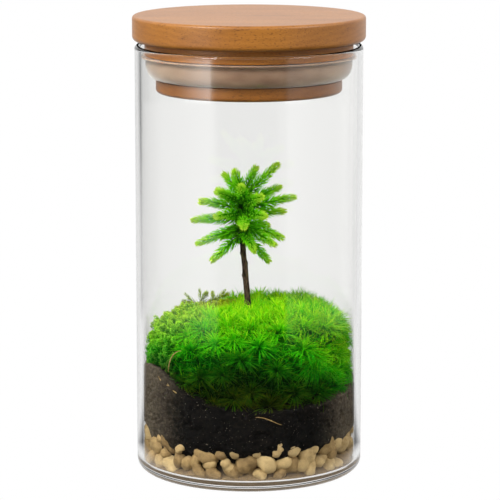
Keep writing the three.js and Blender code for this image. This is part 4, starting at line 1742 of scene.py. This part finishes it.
# ---------- the studio ----------
@dataclass
class Studio:
    """A pale floor and a ring of soft light that the glass mirrors, a key light, and the camera.

    A row of the ring holds a turn from straight behind the jar, in degrees, positive to the right, and the
    levels there for three bands below the horizon: the lowest, the one that most of the wall mirrors, and
    the one that the wall mirrors at the lid. The ring has a dark flag on both sides behind the jar, two soft
    boxes in front at the sides, and a dark gap where the camera stands.
    """

    distance: float = 1156.7 * MM
    height: float = 312.6 * MM
    pitch: float = math.radians(10.52)
    lens: float = 191.3
    shift: float = 0.002
    floor_radius: float = 0.42
    floor_level: float = -0.3 * MM
    white: float = 0.98
    brightest: float = 5.0
    lamp_size: float = 0.45
    lamps: tuple = (("key", (-0.6, -0.55, 0.85), 7.8), ("fill", (0.7, -0.4, 0.7), 2.9))
    ring: tuple[tuple[float, float, float, float], ...] = (
        (-150, 0.01, 0.01, 0.01),
        (-146, 0.42, 0.5, 0.1),
        (-142.5, 0.49, 0.53, 0.8),
        (-139.5, 0.56, 0.56, 3.8),
        (-135, 0.64, 0.6, 3.3),
        (-125, 0.57, 0.48, 2.2),
        (-116, 0.5, 0.4, 1.2),
        (-106, 0.4, 0.34, 0.45),
        (-96, 0.37, 0.33, 0.2),
        (-60, 0.46, 0.4, 0.2),
        (-52, 0.6, 0.58, 0.3),
        (-46, 0.58, 0.5, 0.4),
        (-39, 0.53, 0.2, 0.25),
        (-34, 0.56, 0.14, 0.2),
        (-31, 0.6, 0.36, 0.35),
        (-28.5, 0.84, 0.72, 0.65),
        (-22, 0.84, 0.84, 0.84),
        (-14, 0.8, 0.8, 0.8),
        (-6, 1.0, 0.97, 0.97),
        (6, 1.0, 0.99, 0.99),
        (10, 1.13, 1.1, 1.1),
        (13, 1.09, 1.0, 1.0),
        (18, 0.82, 0.84, 0.84),
        (23, 0.92, 0.91, 0.91),
        (30, 0.82, 0.77, 0.77),
        (42, 0.75, 0.95, 0.92),
        (52, 0.46, 0.8, 0.78),
        (75, 0.42, 0.68, 0.64),
        (100, 0.3, 0.53, 0.45),
        (120, 0.22, 0.53, 0.45),
        (139, 0.32, 0.62, 0.55),
        (143, 0.01, 0.01, 0.01),
    )

    def build(self) -> None:
        """Builds all of it."""
        bpy.context.scene.view_settings.view_transform = "Standard"
        self.camera()
        self.floor()
        self.sky()
        for name, place, energy in self.lamps:
            self.lamp(name, place, energy)

    def camera(self) -> None:
        """The camera stands in front of the jar and looks down a little."""
        lens = bpy.data.cameras.new("camera")
        lens.lens = self.lens
        lens.shift_x = self.shift
        lens.clip_start = 0.05
        camera = in_scene("camera", lens)
        camera.location = (0, -self.distance, self.height)
        camera.rotation_euler = (math.pi / 2 - self.pitch, 0, 0)
        bpy.context.scene.camera = camera

    def seen(self, graph: Graph, level: Wire, share: Value) -> Wire:
        """White for the eye, nearly white straight through the glass, and level for mirrors and surfaces.

        Args:
            graph: The graph of the floor or the sky.
            level: What is mirrored, and what lights the surfaces.
            share: How much of the white shows through the glass.

        Returns:
            The strength of the glow.
        """
        outputs = ("Is Camera Ray", "Is Transmission Ray", "Glossy Depth", "Diffuse Depth")
        eye, through, glossy, diffuse = (graph.node("ShaderNodeLightPath", output=name) for name in outputs)
        bounced = (glossy + diffuse).maths("MINIMUM", 1.0)
        level = level + (self.white - level) * (through * (1 - bounced) * share)
        return level + (1 - level) * eye

    def floor(self) -> None:
        """A round white floor that fades out at its edge. What mirrors its front finds it dark."""
        graph = fresh("floor")
        x, y, _ = graph.axes()
        reach = (x * x + y * y) ** 0.5
        # The floor glows instead of being lit: brightest under the jar and behind it, nearly dark in front.
        near = 1 - reach.step(64 * MM, 88 * MM)
        behind = (y - abs(x) * 0.9 + 48 * MM).step(0, 50 * MM) * 0.85
        level = 0.012 + (near * 0.85).maths("MAXIMUM", behind)
        solid = graph.node("ShaderNodeEmission", inputs={"Strength": self.seen(graph, level, 1.0)})
        clear = graph.node("ShaderNodeBsdfTransparent")
        fade = reach.step(self.floor_radius * 0.75, self.floor_radius * 0.98)
        mesh = bpy.data.meshes.new("floor")
        rim = spun(turns(64)) * self.floor_radius + UP * self.floor_level
        mesh.from_pydata(rim.tolist(), [], [list(range(64))])
        mesh.materials.append(graph.mixed(fade, solid, clear))
        in_scene("floor", mesh)

    def sky(self) -> None:
        """White to the eye, the ring near the horizon, and an even light above and below it."""
        world = bpy.data.worlds.new("studio")
        bpy.context.scene.world = world
        graph = Graph(world)
        x, y, z = graph.axes(graph.node("ShaderNodeTexCoord", output="Generated"))
        turn = x.maths("ARCTAN2", y) * (0.5 / math.pi) + 0.5
        places = [(stop[0] + 180) / 360 for stop in self.ring]
        bands = [[(stop[band] / self.brightest,) * 3 + (1,) for stop in self.ring] for band in (1, 2, 3)]
        low, high, top = (graph.ramp(turn, *zip(places, band)) for band in bands)
        level = low + (high - low) * z.step(-0.185, -0.12)
        level = (level + (top - level) * z.step(-0.129, -0.1265)) * self.brightest
        even = ((0.95, z, 0.1, 0.35), (0.25, z, 0.65, 0.95), (0.45, 0 - z, 0.3, 0.55))
        for bright, height, start, end in even:
            level = level + (bright - level) * height.step(start, end)
        strength = self.seen(graph, level, 1 - y.step(0.35, 0.55))
        graph.close(graph.node("ShaderNodeBackground", inputs={"Color": (1, 1, 1, 1), "Strength": strength}))

    def lamp(self, name: str, place: tuple[float, float, float], energy: float) -> None:
        """Hangs a large soft lamp that points at the jar.

        Args:
            name: Its name.
            place: Where it hangs.
            energy: Its power, in watts.
        """
        light = bpy.data.lights.new(name, "AREA")
        light.shape = "DISK"
        light.size = self.lamp_size
        light.energy = energy
        x, y, z = np.array([0, 0, 0.08]) - place
        lamp = in_scene(name, light)
        lamp.location = place
        lamp.rotation_euler = (math.pi / 2 - math.atan2(-z, math.hypot(x, y)), 0, -math.atan2(x, y))


def main() -> None:
    """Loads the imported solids, and dresses them from the outside in."""
    logging.basicConfig(level=logging.INFO, format="%(name)s %(message)s")
    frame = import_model()
    Studio().build()
    ground = Ground()
    Jar().build()
    Lid().build()
    Gravel(ground).build()
    Soil(ground).build()
    Moss(ground).build()
    Tree(crown=np.array([-2.6, 0, 112.5]) * MM).build(frame)
    Litter().build()


if __name__ == "__main__":
    main()
